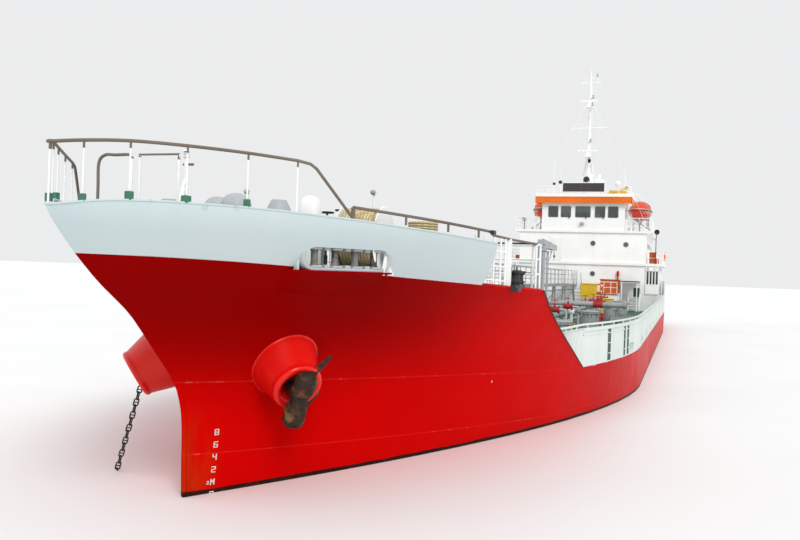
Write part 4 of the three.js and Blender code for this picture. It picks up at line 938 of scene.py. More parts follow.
CHAIN_FOOT = Vector((32.71, -2.72, -1.75))
lip = flip_y(FACE + DOWN * 0.225)
pipe_in = flip_y(FACE - OUT * 0.45 + DOWN * 0.17)
let_go = chain([pipe_in, lip + flip_y(OUT) * 0.05, CHAIN_FOOT])
let_go.put(anchor(), axes(X, Y, Z, CHAIN_FOOT - Z * 0.72))
let_go.make("chain_let_go", CHAIN_IRON, "chain_dark", "starboard_chain", smooth=50)

# chain from the windlass to each hawse pipe: place, height over the deck at another place
deck_run = [(30.99, 0.47, 31, 0.94), (31.3, 0.48, 31.3, 0.8), (31.75, 0.5, 31.7, 0.42),
            (32.1, 0.52, 32.1, 0.12),
            (32.4, 0.62, 32.4, -0.1)]
run = chain(curve([(x, y, deck_line(at) + up) for x, y, at, up in deck_run], 8))
run.mirror().make("deck_chains", CHAIN_IRON, "chain_dark", smooth=50)
stopper_z = deck_line(31.8)
stoppers = Build().lathe([(0.27, -0.05), (0.3, 0.02), (0.28, 0.1), (0.22, 0.13), (0.17, 0.1), (0.16, 0),
                          (0.16, -0.05)],
                         (32.4, 0.62, deck_line(32.4)), (0.1, 0.05, 1), 28)
stoppers.boxes((31.68, 32.0, 0.32, 0.68, stopper_z, stopper_z + 0.1),
               (31.68, 32.0, 0.44, 0.56, stopper_z + 0.1, stopper_z + 0.34),
               (31.74, 31.8, 0.34, 0.66, stopper_z + 0.3, stopper_z + 0.44))
stoppers.mirror().make("chain_stoppers", BLACK, "roller_dark", smooth=40, bevel=0.006)

# Rollers in the bulwark chocks, and the red housing under each chock
ROLLER_OFFSETS, ROLLER_R, ROLLER_INSET, ROLLER_GAP = (-0.62, -0.21, 0.21, 0.62), 0.075, 0.07, 0.0007
SPOOL_END = [(0, 0), (0.07, 0), (ROLLER_R, 0.006), (ROLLER_R, 0.028), (0.066, 0.045), (0.06, 0.075)]
spool_z, spool_high = deck_line(CHOCK_X) + CHOCK_LOW + ROLLER_GAP, CHOCK_HIGH - CHOCK_LOW - 2 * ROLLER_GAP
spool = SPOOL_END + [(0.0585, spool_high / 2)] + [(r, spool_high - h) for r, h in reversed(SPOOL_END)]
for i, offset in enumerate(ROLLER_OFFSETS, 1):
    at = by_chock(offset, -ROLLER_INSET, 0)
    for side, name in NAMED_SIDES:
        node = f"{name}_chock_roller_{i}"
        Build().lathe(spool, (at.x, at.y * side, spool_z), sides=28).make(
            f"{name}_chock_spool_{i}", STEEL, "roller_dark", node, node, smooth=40)
caps = Build()
for offset in ROLLER_OFFSETS:
    outline = [(offset + u, v) for u, v in ((-0.1, -0.17), (0.1, -0.17), (0.1, 0.015), (0.075, 0.045),
                                            (-0.075, 0.045), (-0.1, 0.015))]
    chock_bar(caps, outline, CHOCK_R - 0.035, CHOCK_R - 0.003)
    chock_bar(caps, outline, -CHOCK_R, -CHOCK_R + 0.032)
caps.mirror().make("chock_roller_caps", PALE_GREY, "bulwark_pale", bevel=0.004)
rows = []
for u in spread(-0.98, 0.98, 14):
    fade = min(1, (0.98 - abs(u)) / 0.16 + 0.04)
    top = by_chock(u, 0, -CHOCK_R - 0.05)
    low = top - Z * (0.42 * fade + 0.03)
    on_hull = [Vector((p.x, half_breadth(p.x, p.z), p.z)) - CHOCK_OUT * sunk
               for p, sunk in ((top, 0.05), (low, 0.03))]
    edge = top + CHOCK_OUT * 0.075 * fade
    rows.append([on_hull[0], edge, edge - Z * 0.03, on_hull[1]])
Build().loft(rows).mirror().make("chock_housings", HULL_RED, "hull_red", smooth=30)
cheeks = Build()
for u in (-0.94, 0.94):
    chock_bar(cheeks, [(u - 0.02, -0.05), (u + 0.02, -0.05), (u + 0.02, -0.24), (u - 0.02, -0.24)], -0.24,
              0.26)
cheeks.mirror().make("chock_cheeks", BULWARK, "bulwark_pale")

# Pedestal rollers by the forecastle's break
PEDESTAL_XS, PEDESTAL_Y, PEDESTAL_Z = (28.25, 27.83), 4.35, deck_line(28) + 0.01
PEDESTAL_PROFILE = [(0, 0), (0.13, 0), (0.14, 0.008), (0.135, 0.022), (0.104, 0.042), (0.096, 0.08),
                    (0.094, 0.12),
                    (0.1, 0.165), (0.138, 0.2), (0.145, 0.212), (0.145, 0.24), (0.134, 0.252), (0.06, 0.256),
                    (0.055, 0.268), (0, 0.27)]
for i, x in enumerate(PEDESTAL_XS, 1):
    for side, name in NAMED_SIDES:
        node = f"{name}_pedestal_roller_{i}"
        Build().lathe(PEDESTAL_PROFILE, (x, side * PEDESTAL_Y, PEDESTAL_Z + 0.1307), sides=36).make(
            f"{name}_pedestal_spool_{i}", BLACK, "roller_dark", node, node)
for side, name in NAMED_SIDES:
    seat = Build()
    for x0, x1, y0, y1, z0, z1 in ((27.63, 28.75, 4.15, 4.51, -0.06, 0.03),
                                   (27.68, 28.4, 4.2, 4.47, 0.03, 0.1),
                                   (28.42, 28.72, 4.2, 4.46, 0.02, 0.075)):
        seat.box(x0, x1, y0, y1, PEDESTAL_Z + z0, PEDESTAL_Z + z1)
    for x in PEDESTAL_XS:
        seat.lathe([(0, 0.05), (0.125, 0.05), (0.12, 0.105), (0.1, 0.13), (0, 0.13)],
                   (x, PEDESTAL_Y, PEDESTAL_Z))
    seat.on_side(side).make(f"{name}_roller_seat", BLACK, "roller_dark", f"{name}_roller_base", bevel=0.006)


def top_at(x, up=0.0, inset=0.035):
    """A point on the bow bulwark's upper edge, or above it."""
    z = bulwark_line(x)
    nx, ny = outward(x, z)
    return Vector((x - nx * inset, max(0, half_breadth(x, z) - ny * inset), z + up))


def edge_at(x, up=0.0, inset=0.09):
    """A point on the forecastle deck by its edge, or above it."""
    z = deck_line(x)
    return Vector((x, half_breadth(x, z) - inset, z + up))


# Pipe rail round the bow, with the low rail that runs aft from it
RAIL_POSTS = [37.03, 36.55, 35.9, 35.12, 34.4]
BREAK_RAIL_X, BREAK_RAIL_Z = BREAK_X + 0.12, deck_line(BREAK_X)
nose = Vector((37.33, 0, bulwark_line(37.33)))
post_feet = [top_at(x) for x in RAIL_POSTS]
rail_feet = [flip_y(p) for p in reversed(post_feet)] + [nose] + post_feet
fall = [top_at(34.2, 0.78), top_at(34.1, 0.72), top_at(33.45, 0.02)]
bow_rail = Build()
bow_rail.tube([flip_y(p) for p in reversed(fall)] + curve([p + Z * 0.8 for p in rail_feet], 8) + fall, 0.024,
              12)
for foot in rail_feet:
    bow_rail.paint(1).tube([foot - Z * 0.05, foot + Z * 0.72], 0.013)
    bow_rail.paint(0).tube([foot + Z * 0.7, foot + Z * 0.8], 0.016)
low = [top_at(33.45 - 0.35 * i, 0.2) for i in range(10)]
low_route = low + [Vector((29.9, low[-1].y, low[-1].z)), edge_at(29.3, 1.03), edge_at(28.6, 1.01),
                   edge_at(27.6, 1.01)]
for turn in (Vector, flip_y):
    bow_rail.tube([turn(p) for p in low_route], 0.026, 10)
    bow_rail.tubes([(turn(top_at(x, 0.04)), turn(top_at(x, 0.2))) for x in (32.4, 31.4, 30.55)], 0.022)
    bow_rail.tube([turn(top_at(33.45, 0.02)), turn(top_at(33.45, 0.2))], 0.035, 10)
bow_rail.make("bow_rails", [TAN, WHITE], "bulwark_pale", smooth=50)

# White rails with close posts on the forecastle's sides and across its break
guard, dark_top = Build(), Build()
for turn in (Vector, flip_y):
    guard.tubes([[turn(edge_at(x)), turn(edge_at(x, 1.0))] for x in (29.55, 29.25, 29.02, 28.85)], 0.022)
    guard.tubes([[turn(edge_at(29.62 + h * 0.1, h)), turn(edge_at(28.85, h))] for h in (0.12, 0.42, 0.72)],
                0.018)
    bent = ((29.58, 0.02), (29.66, 0.35), (29.8, 0.7), (29.86, 0.98))
    guard.tube([turn(edge_at(x, up)) for x, up in bent], 0.022)
    guard.block(turn(edge_at(28.68, 0.5, 0.12)), 0.12, 0.12, -0.5, 0.52)
    rail(guard, [turn(edge_at(x)) for x in (27.62, 27.45)]
         + [turn((BREAK_RAIL_X, y, BREAK_RAIL_Z)) for y in (4.55, 3.6, 2.7, 1.85)])
    dark_top.tube([turn(edge_at(27.6, 1.01)), turn((BREAK_RAIL_X, 4.55, BREAK_RAIL_Z + 1.03)),
                   turn((BREAK_RAIL_X, 1.85, BREAK_RAIL_Z + 1.03))], 0.028)
    dark_top.block(turn(top_at(30.1, 0.17)), 0.18, 0.08, -0.02, 0.06)
for ys in ((-1.85, -1.25), (-0.25, 0.5, 1.15)):
    rail(guard, [(BREAK_RAIL_X, y, BREAK_RAIL_Z) for y in ys])
guard.make("forecastle_rails", WHITE, "house_white", smooth=50)
dark_top.make("rail_tops", BLACK, "roller_dark", smooth=50)

# Small green cases on the bulwark's edge
cases = Build()
for x, side, wide, high in ((37.03, 1, 0.05, 0.1), (36.55, 1, 0.08, 0.12), (35.9, 1, 0.12, 0.1),
                            (35.12, 1, 0.05, 0.12), (37.15, -1, 0.05, 0.12), (36.1, -1, 0.08, 0.12)):
    at = top_at(x)
    cases.block((at.x, at.y * side, at.z), wide, 0.1, 0, high)
cases.make("edge_cases", GREEN, "deck_grey", bevel=0.008)
# Lookout platform in the bow, with a rail at its after side
LOOKOUT_X, LOOKOUT_Z = 35.35, 4.4
inner = [top_at(x, -0.3, 0.2) for x in (36.7, 36.3, 35.9, 35.6, 35.3)]
lookout = Build().prism([(p.x, p.y) for p in inner] + [(p.x, -p.y) for p in reversed(inner)], LOOKOUT_Z,
                        LOOKOUT_Z + 0.04)
for x, y in ((LOOKOUT_X, 0.9), (LOOKOUT_X, -0.9), (36.3, 0.3), (36.3, -0.3)):
    lookout.poles([(x, y)], deck_line(x), LOOKOUT_Z, 0.03)
lookout.paint(1).poles([(LOOKOUT_X, y) for y in (-0.2, -0.06, 0.62)], 4.42, 5.5, 0.02)
bend = ((-0.8, 4.42), (-0.8, 5.0), (-0.8, 5.38), (-0.69, 5.5), (-0.5, 5.5), (-0.24, 5.5), (-0.2, 5.44))
lookout.paint(2).tube(curve([(LOOKOUT_X, y, z) for y, z in bend], 5), 0.024, 10)
lookout.tube([(LOOKOUT_X, y, z) for y, z in ((-0.06, 5.46), (-0.06, 5.5), (0.62, 5.5), (0.62, 5.42))], 0.022,
             10)
lookout.make("bow_lookout", [PALE_GREY, WHITE, TAN], "house_white", smooth=50)


# Mushroom vents and covers on the forecastle
VENT = [(0, -0.02), (0.19, -0.02), (0.19, 0.02), (0.145, 0.05), (0.14, 0.66), (0.15, 0.7), (0.235, 0.71),
        (0.25, 0.725),
        (0.25, 0.76), (0.235, 0.92), (0.2, 1.05), (0.15, 1.15), (0.13, 1.19), (0.0, 1.2)]
DOME = [(0, 1.32), (0.08, 1.315), (0.16, 1.28), (0.22, 1.22), (0.26, 1.12), (0.27, 1.04), (0.25, 1.02),
        (0.12, 1.0),
        (0.12, 0), (0, 0)]
for side, name in NAMED_SIDES:
    at = Vector((33.0, side * 1.1, deck_line(33)))
    vent = Build().lathe(VENT, at, sides=16)
    vent.tubes([(p + Z * 0.5, p + Z * 0.78) for p in arc(at, 0.2, X, Y, turns(4, math.pi / 4))], 0.012, 6)
    vent.make(f"{name}_mushroom_vent", PALE_GREY, "deck_grey", f"{name}_fore_vent", smooth=30)
covers = Build().lathe(DOME, (32.5, -0.4, deck_line(32.5)), sides=28)
covers.lathe([(r, h * 0.93) for r, h in DOME], (33.5, 0.55, deck_line(33.5)), sides=28)
covers.make("dome_vents", PALE_GREY, "deck_grey", smooth=40)
COVER_AT, COVER_HALF, COVER_HIGH = (32.0, 1.24), 0.2, 1.42
rows = [[(COVER_AT[0] + COVER_HALF * grow * rounded(math.cos(t), 0.6),
          COVER_AT[1] + COVER_HALF * grow * rounded(math.sin(t), 0.6), deck_line(COVER_AT[0])
          + COVER_HIGH * up)
         for t in turns(28)]
        for up, grow in ((0, 1), (0.6, 1), (0.78, 0.97), (0.9, 0.86), (0.97, 0.65), (1, 0.3))]
Build().grid(rows, closed=True).add(rows[-1], [tuple(range(28))]).make("control_cover", WHITE, "house_white",
                                                                       smooth=50)

# Windlass: bed, cheeks with bearings, gearcase and motor; wildcats, brakes and rope drums on one shaft
WX, WZ = 31.0, deck_line(31.0)
SHAFT_Z = WZ + 0.62
MOTOR_AT = Vector((WX - 0.8, -0.27, WZ + 0.34))
bed = Build()
for x in (WX - 0.62, WX + 0.62):
    bed.box(x - 0.06, x + 0.06, -1.78, 1.78, WZ - 0.02, WZ + 0.09)
for y in (-1.6, -0.95, 0, 0.95, 1.6):
    bed.block((WX, y, WZ), 1.36, 0.2, 0, 0.085)
    outline = [(WX - 0.5, WZ + 0.08), (WX + 0.5, WZ + 0.08), (WX + 0.2, SHAFT_Z + 0.05),
               (WX - 0.2, SHAFT_Z + 0.05)]
    bed.prism(outline, y - 0.05, y + 0.05, "y")
    bearing = [(0.1, -0.1), (0.17, -0.1), (0.19, -0.08), (0.19, 0.08), (0.17, 0.1), (0.1, 0.1)]
    bed.lathe(bearing, (WX, y, SHAFT_Z), TO_PORT, 28)
    for dx in (-0.36, 0.36):
        bolt = [(0, 0), (0.035, 0), (0.035, 0.03), (0.02, 0.03), (0.02, 0.05), (0, 0.05)]
        bed.lathe(bolt, (WX + dx, y, WZ + 0.085), sides=6)
bed.lathe([(0, -0.13), (0.38, -0.13), (0.42, -0.09), (0.42, 0.09), (0.38, 0.13), (0, 0.13)],
          (WX - 0.2, 0.0, SHAFT_Z - 0.14), TO_PORT, 32)
bed.box(WX - 1.02, WX - 0.62, -0.3, 0.3, WZ, WZ + 0.42)
bed.lathe([(0, 0), (0.16, 0), (0.19, 0.03), (0.19, 0.5), (0.16, 0.54), (0, 0.54)], MOTOR_AT, TO_PORT)
for fin in arc(MOTOR_AT, 0.19, X, Z, turns(12)):
    bed.box(fin.x - 0.008, fin.x + 0.008, -0.2, 0.18, fin.z - 0.012, fin.z + 0.012)
bed.make("windlass_bed", GREY, "deck_grey", "windlass_frame", bevel=0.006)
brakes = Build()
for side in SIDES:
    for y in (0.42, 1.72):
        band = [math.radians(a) for a in range(-60, 250, 15)]
        brakes.tube(arc((WX, side * y, SHAFT_Z), 0.36, X, Z, band), 0.016, 6)
    for dx, y, top, r in ((0.6, 1.72, 1.24, 0.14), (0.6, 1.4, 1.2, 0.12), (0.55, 0.42, 1.0, 0.16)):
        wheel = Vector((WX + dx, side * y, WZ + top))
        brakes.tube([(WX + dx, side * y, WZ + 0.05), wheel], 0.022)
        brakes.hoop(wheel, r, 0.016, X, Y, 20, 8)
        for t in turns(6)[:3]:
            spoke = (X * math.cos(t) + Y * math.sin(t)) * r
            brakes.tube([wheel - spoke, wheel + spoke], 0.009, 6)
        foot = [(0, 0), (0.06, 0), (0.06, 0.03), (0.035, 0.06), (0.035, 0.4), (0, 0.4)]
        brakes.lathe(foot, (WX + dx, side * y, WZ), sides=12)
brakes.make("windlass_brakes", BLACK, "deck_grey", smooth=50)

# A wildcat with whelps between two rims beside its brake drum, and a rope drum outside them
WILDCAT = [(0.087, 0.14), (0.3, 0.14), (0.32, 0.16), (0.32, 0.19), (0.25, 0.235), (0.2, 0.29), (0.2, 0.33),
           (0.25, 0.385), (0.32, 0.43), (0.32, 0.46), (0.3, 0.48), (0.2, 0.49), (0.2, 0.53), (0.33, 0.54),
           (0.33, 0.72), (0.3, 0.74), (0.12, 0.78), (0.087, 0.82)]
ROPE_DRUM = [(0.087, 1.72), (0.12, 1.74), (0.37, 1.75), (0.38, 1.765), (0.37, 1.785), (0.22, 1.8),
             (0.2, 1.86),
             (0.19, 2.05), (0.2, 2.28), (0.22, 2.34), (0.37, 2.36), (0.38, 2.378), (0.37, 2.395), (0.12, 2.4),
             (0.087, 2.44)]
drums, wraps = Build().tube([(WX, -2.5, SHAFT_Z), (WX, 2.5, SHAFT_Z)], 0.087, 32), Build()
for side in SIDES:
    for profile in (WILDCAT, ROPE_DRUM):
        drums.lathe(profile, (WX, 0, SHAFT_Z), (0, side, 0), 40)
    for t in turns(5):
        out = X * math.cos(t) + Z * math.sin(t)
        drums.plate(Vector((WX, side * 0.31, SHAFT_Z)) + out * 0.25, out, TO_PORT, (0.07, 0.16, 0.05))
    for layer, r in enumerate((0.23, 0.272, 0.314)):
        for k in range(11 - layer % 2):
            y = side * (1.835 + 0.048 * (k + 0.5 * (layer % 2)))
            wraps.hoop((WX, y, SHAFT_Z), r, 0.0245, X, Z, 28, 7)
drums.make("windlass_drum_set", GREY, "deck_grey", "windlass_drums", "windlass")
wraps.make("rope_on_drums", ROPE, "roller_dark", body="windlass", smooth=60)

# Mooring-rope reels in their stands before the windlass
REEL_X, REEL_Z = 32.25, deck_line(32.25) + 0.62
reels, reel_rope = Build(), Build()
for side in SIDES:
    for y in (2.05, 2.78):
        reels.lathe([(0.1, -0.012), (0.57, -0.012), (0.585, 0), (0.57, 0.012), (0.1, 0.012)],
                    (REEL_X, side * y, REEL_Z), TO_PORT, 40)
    reels.tube([(REEL_X, side * 1.95, REEL_Z), (REEL_X, side * 2.9, REEL_Z)], 0.12, 20)
    for y in (1.93, 2.9):
        reels.prism([(REEL_X + dx, REEL_Z + dz)
                     for dx, dz in ((-0.35, -0.62), (0.35, -0.62), (0.09, 0.08), (-0.09, 0.08))],
                    side * y - 0.025, side * y + 0.025, "y")
    for r, count in ((0.42, 12), (0.47, 11), (0.52, 10)):
        for k in range(count):
            y = side * (2.1 + 0.056 * (k + 0.5 * (12 - count)))
            reel_rope.hoop((REEL_X, y, REEL_Z), r, 0.029, X, Z, 32, 7)
reels.make("rope_reels", WHITE, "house_white")
reel_rope.make("reel_rope", ROPE, "roller_dark", smooth=60)


# Bollards, rope coils, hatch and stores on the forecastle
def bollards(build, x, y, z, gap, r, h):
    build.block((x, y, z), 2 * gap + 0.6, 0.5, -0.02, 0.06)
    for dx in (-gap, gap):
        build.lathe([(0, 0.04), (r + 0.02, 0.05), (r, 0.09), (r, h - 0.08), (r * 1.14, h - 0.06),
                     (r * 1.24, h - 0.03), (r * 1.2, h + 0.02), (r * 0.9, h + 0.04), (0, h + 0.045)],
                    (x + dx, y, z), sides=28)
    return build


BITTS_X, BITTS_Y, BITTS_GAP = 29.3, 3.1, 0.36
for side, name in NAMED_SIDES:
    bollards(Build(), BITTS_X, side * BITTS_Y, deck_line(BITTS_X), BITTS_GAP, 0.13, 0.55).make(
        f"{name}_bitts", BLACK, "deck_grey", f"{name}_fore_bollards", bevel=0.006)
coils, wrapped = Build(), Build()
for x, y, layers in ((30.35, 2.9, 6), (30.35, -2.9, 4)):
    for layer in range(layers):
        for r in (0.12, 0.17, 0.22, 0.27):
            coils.hoop((x, y, deck_line(x) + 0.88 + 0.05 * layer), r, 0.026, X * 1.1, Y, 26, 7)
coils.make("rope_coils", ROPE, "roller_dark", smooth=60)
for dx, layers in ((-BITTS_GAP, 6), (BITTS_GAP, 4)):
    for layer in range(layers):
        wrapped.hoop((BITTS_X + dx, BITTS_Y, deck_line(BITTS_X) + 0.12 + 0.05 * layer), 0.155, 0.025, X, Y,
                     22, 7)
wrapped.make("rope_on_bitts", ROPE, "roller_dark", smooth=60)
z = deck_line(29)
hatch = Build().boxes((28.6, 29.5, -1.2, -0.3, z, z + 0.55), (28.55, 29.55, -1.25, -0.25, z + 0.55, z + 0.62),
                      (28.71, 28.79, -1.28, -1.2, z + 0.4, z + 0.6),
                      (29.31, 29.39, -1.28, -1.2, z + 0.4, z + 0.6),
                      (32.0, 32.5, -2.4, -1.9, deck_line(32.2), deck_line(32.2) + 0.5))
for side in SIDES:
    hatch.block((30.35, side * 2.9, deck_line(30.3)), 0.6, 0.6, 0, 0.84)
hatch.make("fore_hatch_and_lockers", PALE_GREY, "deck_grey", bevel=0.012)

# Jackstaff: a pole with a lamp, a leg and a ladder
JACK_X, LEG_X = 34.2, 34.8
leg = [Vector((LEG_X, 0, deck_line(LEG_X))), Vector((JACK_X, 0, 5.27))]
stile = [Vector((LEG_X, 0.2, deck_line(LEG_X))), Vector((JACK_X + 0.1, 0.04, 5.1))]
jack = Build().tube([(JACK_X, 0, deck_line(JACK_X) - 0.02), (JACK_X, 0, 5.64)], [0.035, 0.03], 16)
jack.tube([leg[0] - Z * 0.02, leg[1]], 0.028, 12)
jack.tube([stile[0] - Z * 0.02, stile[1]], 0.02, 10)
for k in range(6):
    t = (k + 0.6) / 6.5
    jack.tube([leg[0].lerp(leg[1], t), stile[0].lerp(stile[1], t)], 0.012, 6)
jack.lathe([(0, 0), (0.06, 0), (0.06, 0.015), (0.035, 0.02), (0.035, 0.09), (0.06, 0.095), (0.05, 0.12),
            (0, 0.13)],
           (JACK_X, 0, 5.62))
jack.paint(1).tube([(JACK_X, -0.05, 5.5), (JACK_X, 0.14, 5.5)], 0.02)
jack.make("jackstaff_pole", [WHITE, TAN], "house_white", "jackstaff", smooth=40)
lamp, stands = Build().disc((JACK_X, 0, 5.64), 0.045, 0, 0.07, sides=20), Build()
for side in SIDES:
    z = deck_line(29.4)
    lamp.lathe([(0, 0), (0.05, 0), (0.06, 0.02), (0.06, 0.08), (0, 0.1)], (29.4, side * 1.5, z + 1.9),
               (1, 0, -0.5), 14)
    stands.poles([(29.38, side * 1.5)], z, z + 1.9, 0.03)
lamp.make("fore_lamps", LENS, "house_white", smooth=40)
stands.make("fore_lamp_stands", WHITE, "house_white", smooth=50)

# Draught figures at stem and stern, painted strokes as thin plates
STROKES = {"2": "abged", "3": "abgcd", "4": "fgbc", "6": "afgedc", "8": "abcdefg", "M": "mnop"}
BARS = {"a": ((0, 1), (1, 1)), "b": ((1, 1), (1, 0.5)), "c": ((1, 0.5), (1, 0)), "d": ((0, 0), (1, 0)),
        "e": ((0, 0), (0, 0.5)), "f": ((0, 0.5), (0, 1)), "g": ((0, 0.5), (1, 0.5)), "m": ((0, 0), (0, 1)),
        "n": ((0, 1), (0.5, 0.45)), "o": ((0.5, 0.45), (1, 1)), "p": ((1, 1), (1, 0))}


def figure(build, digit, x, z, side, high=0.09, wide=0.045, thick=0.014):
    """One figure laid on the hull's side, its lower aft corner at x and z."""
    def place(u, v, lift):
        px, pz = x - side * u * 1.2, z + v
        nx, ny = outward(px, pz)
        return px + nx * lift, side * (half_breadth(px, pz) + ny * lift), pz
    for name in STROKES[digit]:
        (u0, v0), (u1, v1) = [(u * wide, v * high) for u, v in BARS[name]]
        share = thick / 2 / math.hypot(u1 - u0, v1 - v0)
        eu, ev = (u1 - u0) * share, (v1 - v0) * share
        quad = [(u0 - eu - ev, v0 - ev + eu), (u0 - eu + ev, v0 - ev - eu),
                (u1 + eu + ev, v1 + ev - eu), (u1 + eu - ev, v1 + ev + eu)]
        build.loft([[place(u, v, lift) for u, v in quad] for lift in (0.004, 0.001)])


marks = Build()
for side in SIDES:
    for k, digit in enumerate("8M2468"):
        z = 0.2125 * k - 0.065
        figure(marks, digit, 33.5 + side * 0.027, z, side)
        if digit == "M":
            figure(marks, "3", 33.5 + side * 0.09, z + 0.015, side, 0.05, 0.02, 0.01)
    for k, digit in enumerate("8M24"):
        figure(marks, digit, -34.6, 0.15 + 0.2 * k, side)
marks.make("draught_figures", FIGURE_WHITE, "house_white", smooth=20)


# Side bulwark of the cargo deck: plating with freeing ports, brackets, stays, gates and a handrail
FREEING_XS, FREEING_HALF, FREEING_Z = [17.5, 13.5, 9.5, 5.5, 1.5, -3.5, -13], 0.45, (1.55, 1.83)
GATES = [(-9, 1.2), (-16.6, 1.6)]
NARROW_GATES = [(20.6, 0.25), (18.7, 0.15), (18.15, 0.19)]
PLATE_TOP, PLATE_END = 2.42, 25.1


def side_plate(x, z, depth):
    return Vector((x, half_breadth(x, DECK_Z) - depth, z))


def side_strip(build, x0, x1, z0, z1, outer=0.01, inner=0.08):
    """A run of bulwark plate between two places and two heights."""
    xs = spread(x0, x1, max(1, round(x1 - x0)))
    return build.loft([[side_plate(x, z, d) for z, d in ((z0, outer), (z1, outer), (z1, inner), (z0, inner))]
                       for x in xs])


def side_bars(build, x, half, zs, depth, r, sides=8):
    """Level bars along the side plate."""
    return build.tubes([[side_plate(x - half, z, depth), side_plate(x + half, z, depth)] for z in zs], r,
                       sides)


def side_posts(build, xs, low, high, depth, r, sides=8):
    return build.tubes([[side_plate(x, low, depth), side_plate(x, high, depth)] for x in xs], r, sides)


def side_y(x, z):
    """Breadth of the side plate, which bends out to the flare as it runs forward."""
    return lerp(half_breadth(x, DECK_Z), half_breadth(x, z), clamp((x - SWEEP_FOOT) / 2.3))


def side_bulwark():
    openings = sorted([(x - FREEING_HALF, x + FREEING_HALF, *FREEING_Z) for x in FREEING_XS]
                      + [(x - w / 2, x + w / 2, 1.57, 2.38) for x, w in GATES])
    plate = Build()
    at = HOUSE_X
    for x0, x1, z0, z1 in openings:
        side_strip(plate, at, x0, DECK_Z - 0.02, PLATE_TOP)
        side_strip(plate, x0, x1, DECK_Z - 0.02, z0)
        side_strip(plate, x0, x1, z1, PLATE_TOP)
        at = x1
    side_strip(plate, at, SWEEP_FOOT, DECK_Z - 0.02, PLATE_TOP)
    # the plate runs on forward inside the swept edge
    xs = spread(SWEEP_FOOT, PLATE_END, 12)
    for depth in (0.02, 0.07):
        rows = [[(x, lerp(side_top(x) - 0.03, 2.5, s)) for x in xs] for s in (0, 0.2, 0.4, 0.6, 0.8, 1)]
        plate.grid([[(x, side_y(x, z) - depth, z) for x, z in row] for row in rows], flip=depth > 0.05)
    plate.grid([[(x, side_y(x, 2.5) - d, 2.5) for x in xs] for d in (-0.01, 0.11)])
    # flat bar along the top, and a half-round under it
    side_strip(plate, HOUSE_X, SWEEP_FOOT, PLATE_TOP, 2.5, -0.02, 0.1)
    side_strip(plate, HOUSE_X, SWEEP_FOOT, 2.3, 2.34, -0.006, 0.02)
    for x in FREEING_XS:
        side_bars(plate, x, FREEING_HALF, FREEING_Z, -0.002, 0.018)
        side_posts(plate, (x - FREEING_HALF, x + FREEING_HALF), *FREEING_Z, -0.002, 0.018)
        side_posts(plate, (x - 0.22, x, x + 0.22), 1.53, 1.85, 0.045, 0.012, 6)
    # stays on the inboard side, but none across a gate
    for x in (21.9 - i for i in range(44)):
        if not any(abs(x - g) < w / 2 + 0.1 for g, w in GATES):
            y = side_plate(x, 0, 0.08).y
            outline = [(y, DECK_Z), (y, 2.44), (y - 0.08, 2.44), (y - 0.36, DECK_Z)]
            plate.prism(outline, x - 0.012, x + 0.012, "x")
    # narrow closed gates near the forward end, dark with age, and the open gates with a frame and bars
    for x, w in NARROW_GATES:
        side_strip(plate.paint(1), x - w / 2, x + w / 2, 1.5, PLATE_TOP, -0.006, 0.02)
        side_bars(plate.paint(0), x, w / 2, (1.7, 2.0, 2.3), -0.01, 0.014, 6)
    for x, w in GATES:
        side_bars(plate, x, w / 2, (1.75, 2.0, 2.22), 0.045, 0.02)
        side_posts(plate, (x - w / 2, x, x + w / 2), 1.57, 2.4, 0.045, 0.02)
    return plate


def side_handrail():
    ahead = [Vector((x, side_y(x, 2.6) - 0.05, 2.6)) for x in (25.25, 24.7, 24.1, 23.5)]
    xs = [22.7 - 1.2 * i for i in range(38)]
    cap = Build().tube(ahead + [side_plate(x, 2.6, 0.05) for x in xs if x > HOUSE_X]
                       + [side_plate(HOUSE_X, 2.6, 0.05)],
                       0.03, 10)
    cap.tubes([[p - Z * 0.12, p] for p in ahead[1:]], 0.018, 6)
    return side_posts(cap, [x - 0.3 for x in xs if x - 0.3 > HOUSE_X], 2.48, 2.6, 0.05, 0.018, 6)


for side, name in NAMED_SIDES:
    side_bulwark().on_side(side).make(f"{name}_side_plating", [SIDE_WHITE, GATE_GREEN], "bulwark_pale",
                                      f"{name}_side_bulwark", smooth=30)
    side_handrail().on_side(side).make(f"{name}_side_handrail", SIDE_WHITE, "bulwark_pale", smooth=30)

# Catwalk: grating between two side bars, rails on both hands, braced legs
CAT_Y, CAT_Z, CAT_ENDS = -0.75, 3.38, (-21.72, 27.14)
walk = Build()
for dy in (-0.5, 0.44):
    walk.box(*CAT_ENDS, CAT_Y + dy, CAT_Y + dy + 0.06, CAT_Z - 0.14, CAT_Z)
x = -21.7
while x < 27.1:
    walk.box(x, x + 0.03, CAT_Y - 0.44, CAT_Y + 0.44, CAT_Z - 0.05, CAT_Z - 0.008)
    x += 0.14
for dy in spread(-0.4, 0.4, 6):
    walk.box(*CAT_ENDS, CAT_Y + dy - 0.008, CAT_Y + dy + 0.008, CAT_Z - 0.045, CAT_Z - 0.004)
walk.make("catwalk_grating", GREY, "deck_grey", smooth=30)
legs = Build()
for x in spread(25.65, -20.23, 9):
    for side in SIDES:
        foot, y = CAT_Y + side * 0.5, CAT_Y + side * 0.45
        legs.tube([(x, foot, DECK_Z), (x, CAT_Y + side * 0.42, CAT_Z - 0.1)], 0.05, 12)
        legs.block((x, foot, DECK_Z), 0.24, 0.24, 0, 0.02)
        legs.tube([(x, y, CAT_Z - 0.75), (x - 0.6, y, CAT_Z - 0.12)], 0.025)
    legs.tube([(x, CAT_Y - 0.46, CAT_Z - 0.45), (x, CAT_Y + 0.46, CAT_Z - 0.45)], 0.035)
    legs.tube([(x, CAT_Y - 0.48, DECK_Z + 0.3), (x, CAT_Y + 0.44, CAT_Z - 0.5)], 0.02)
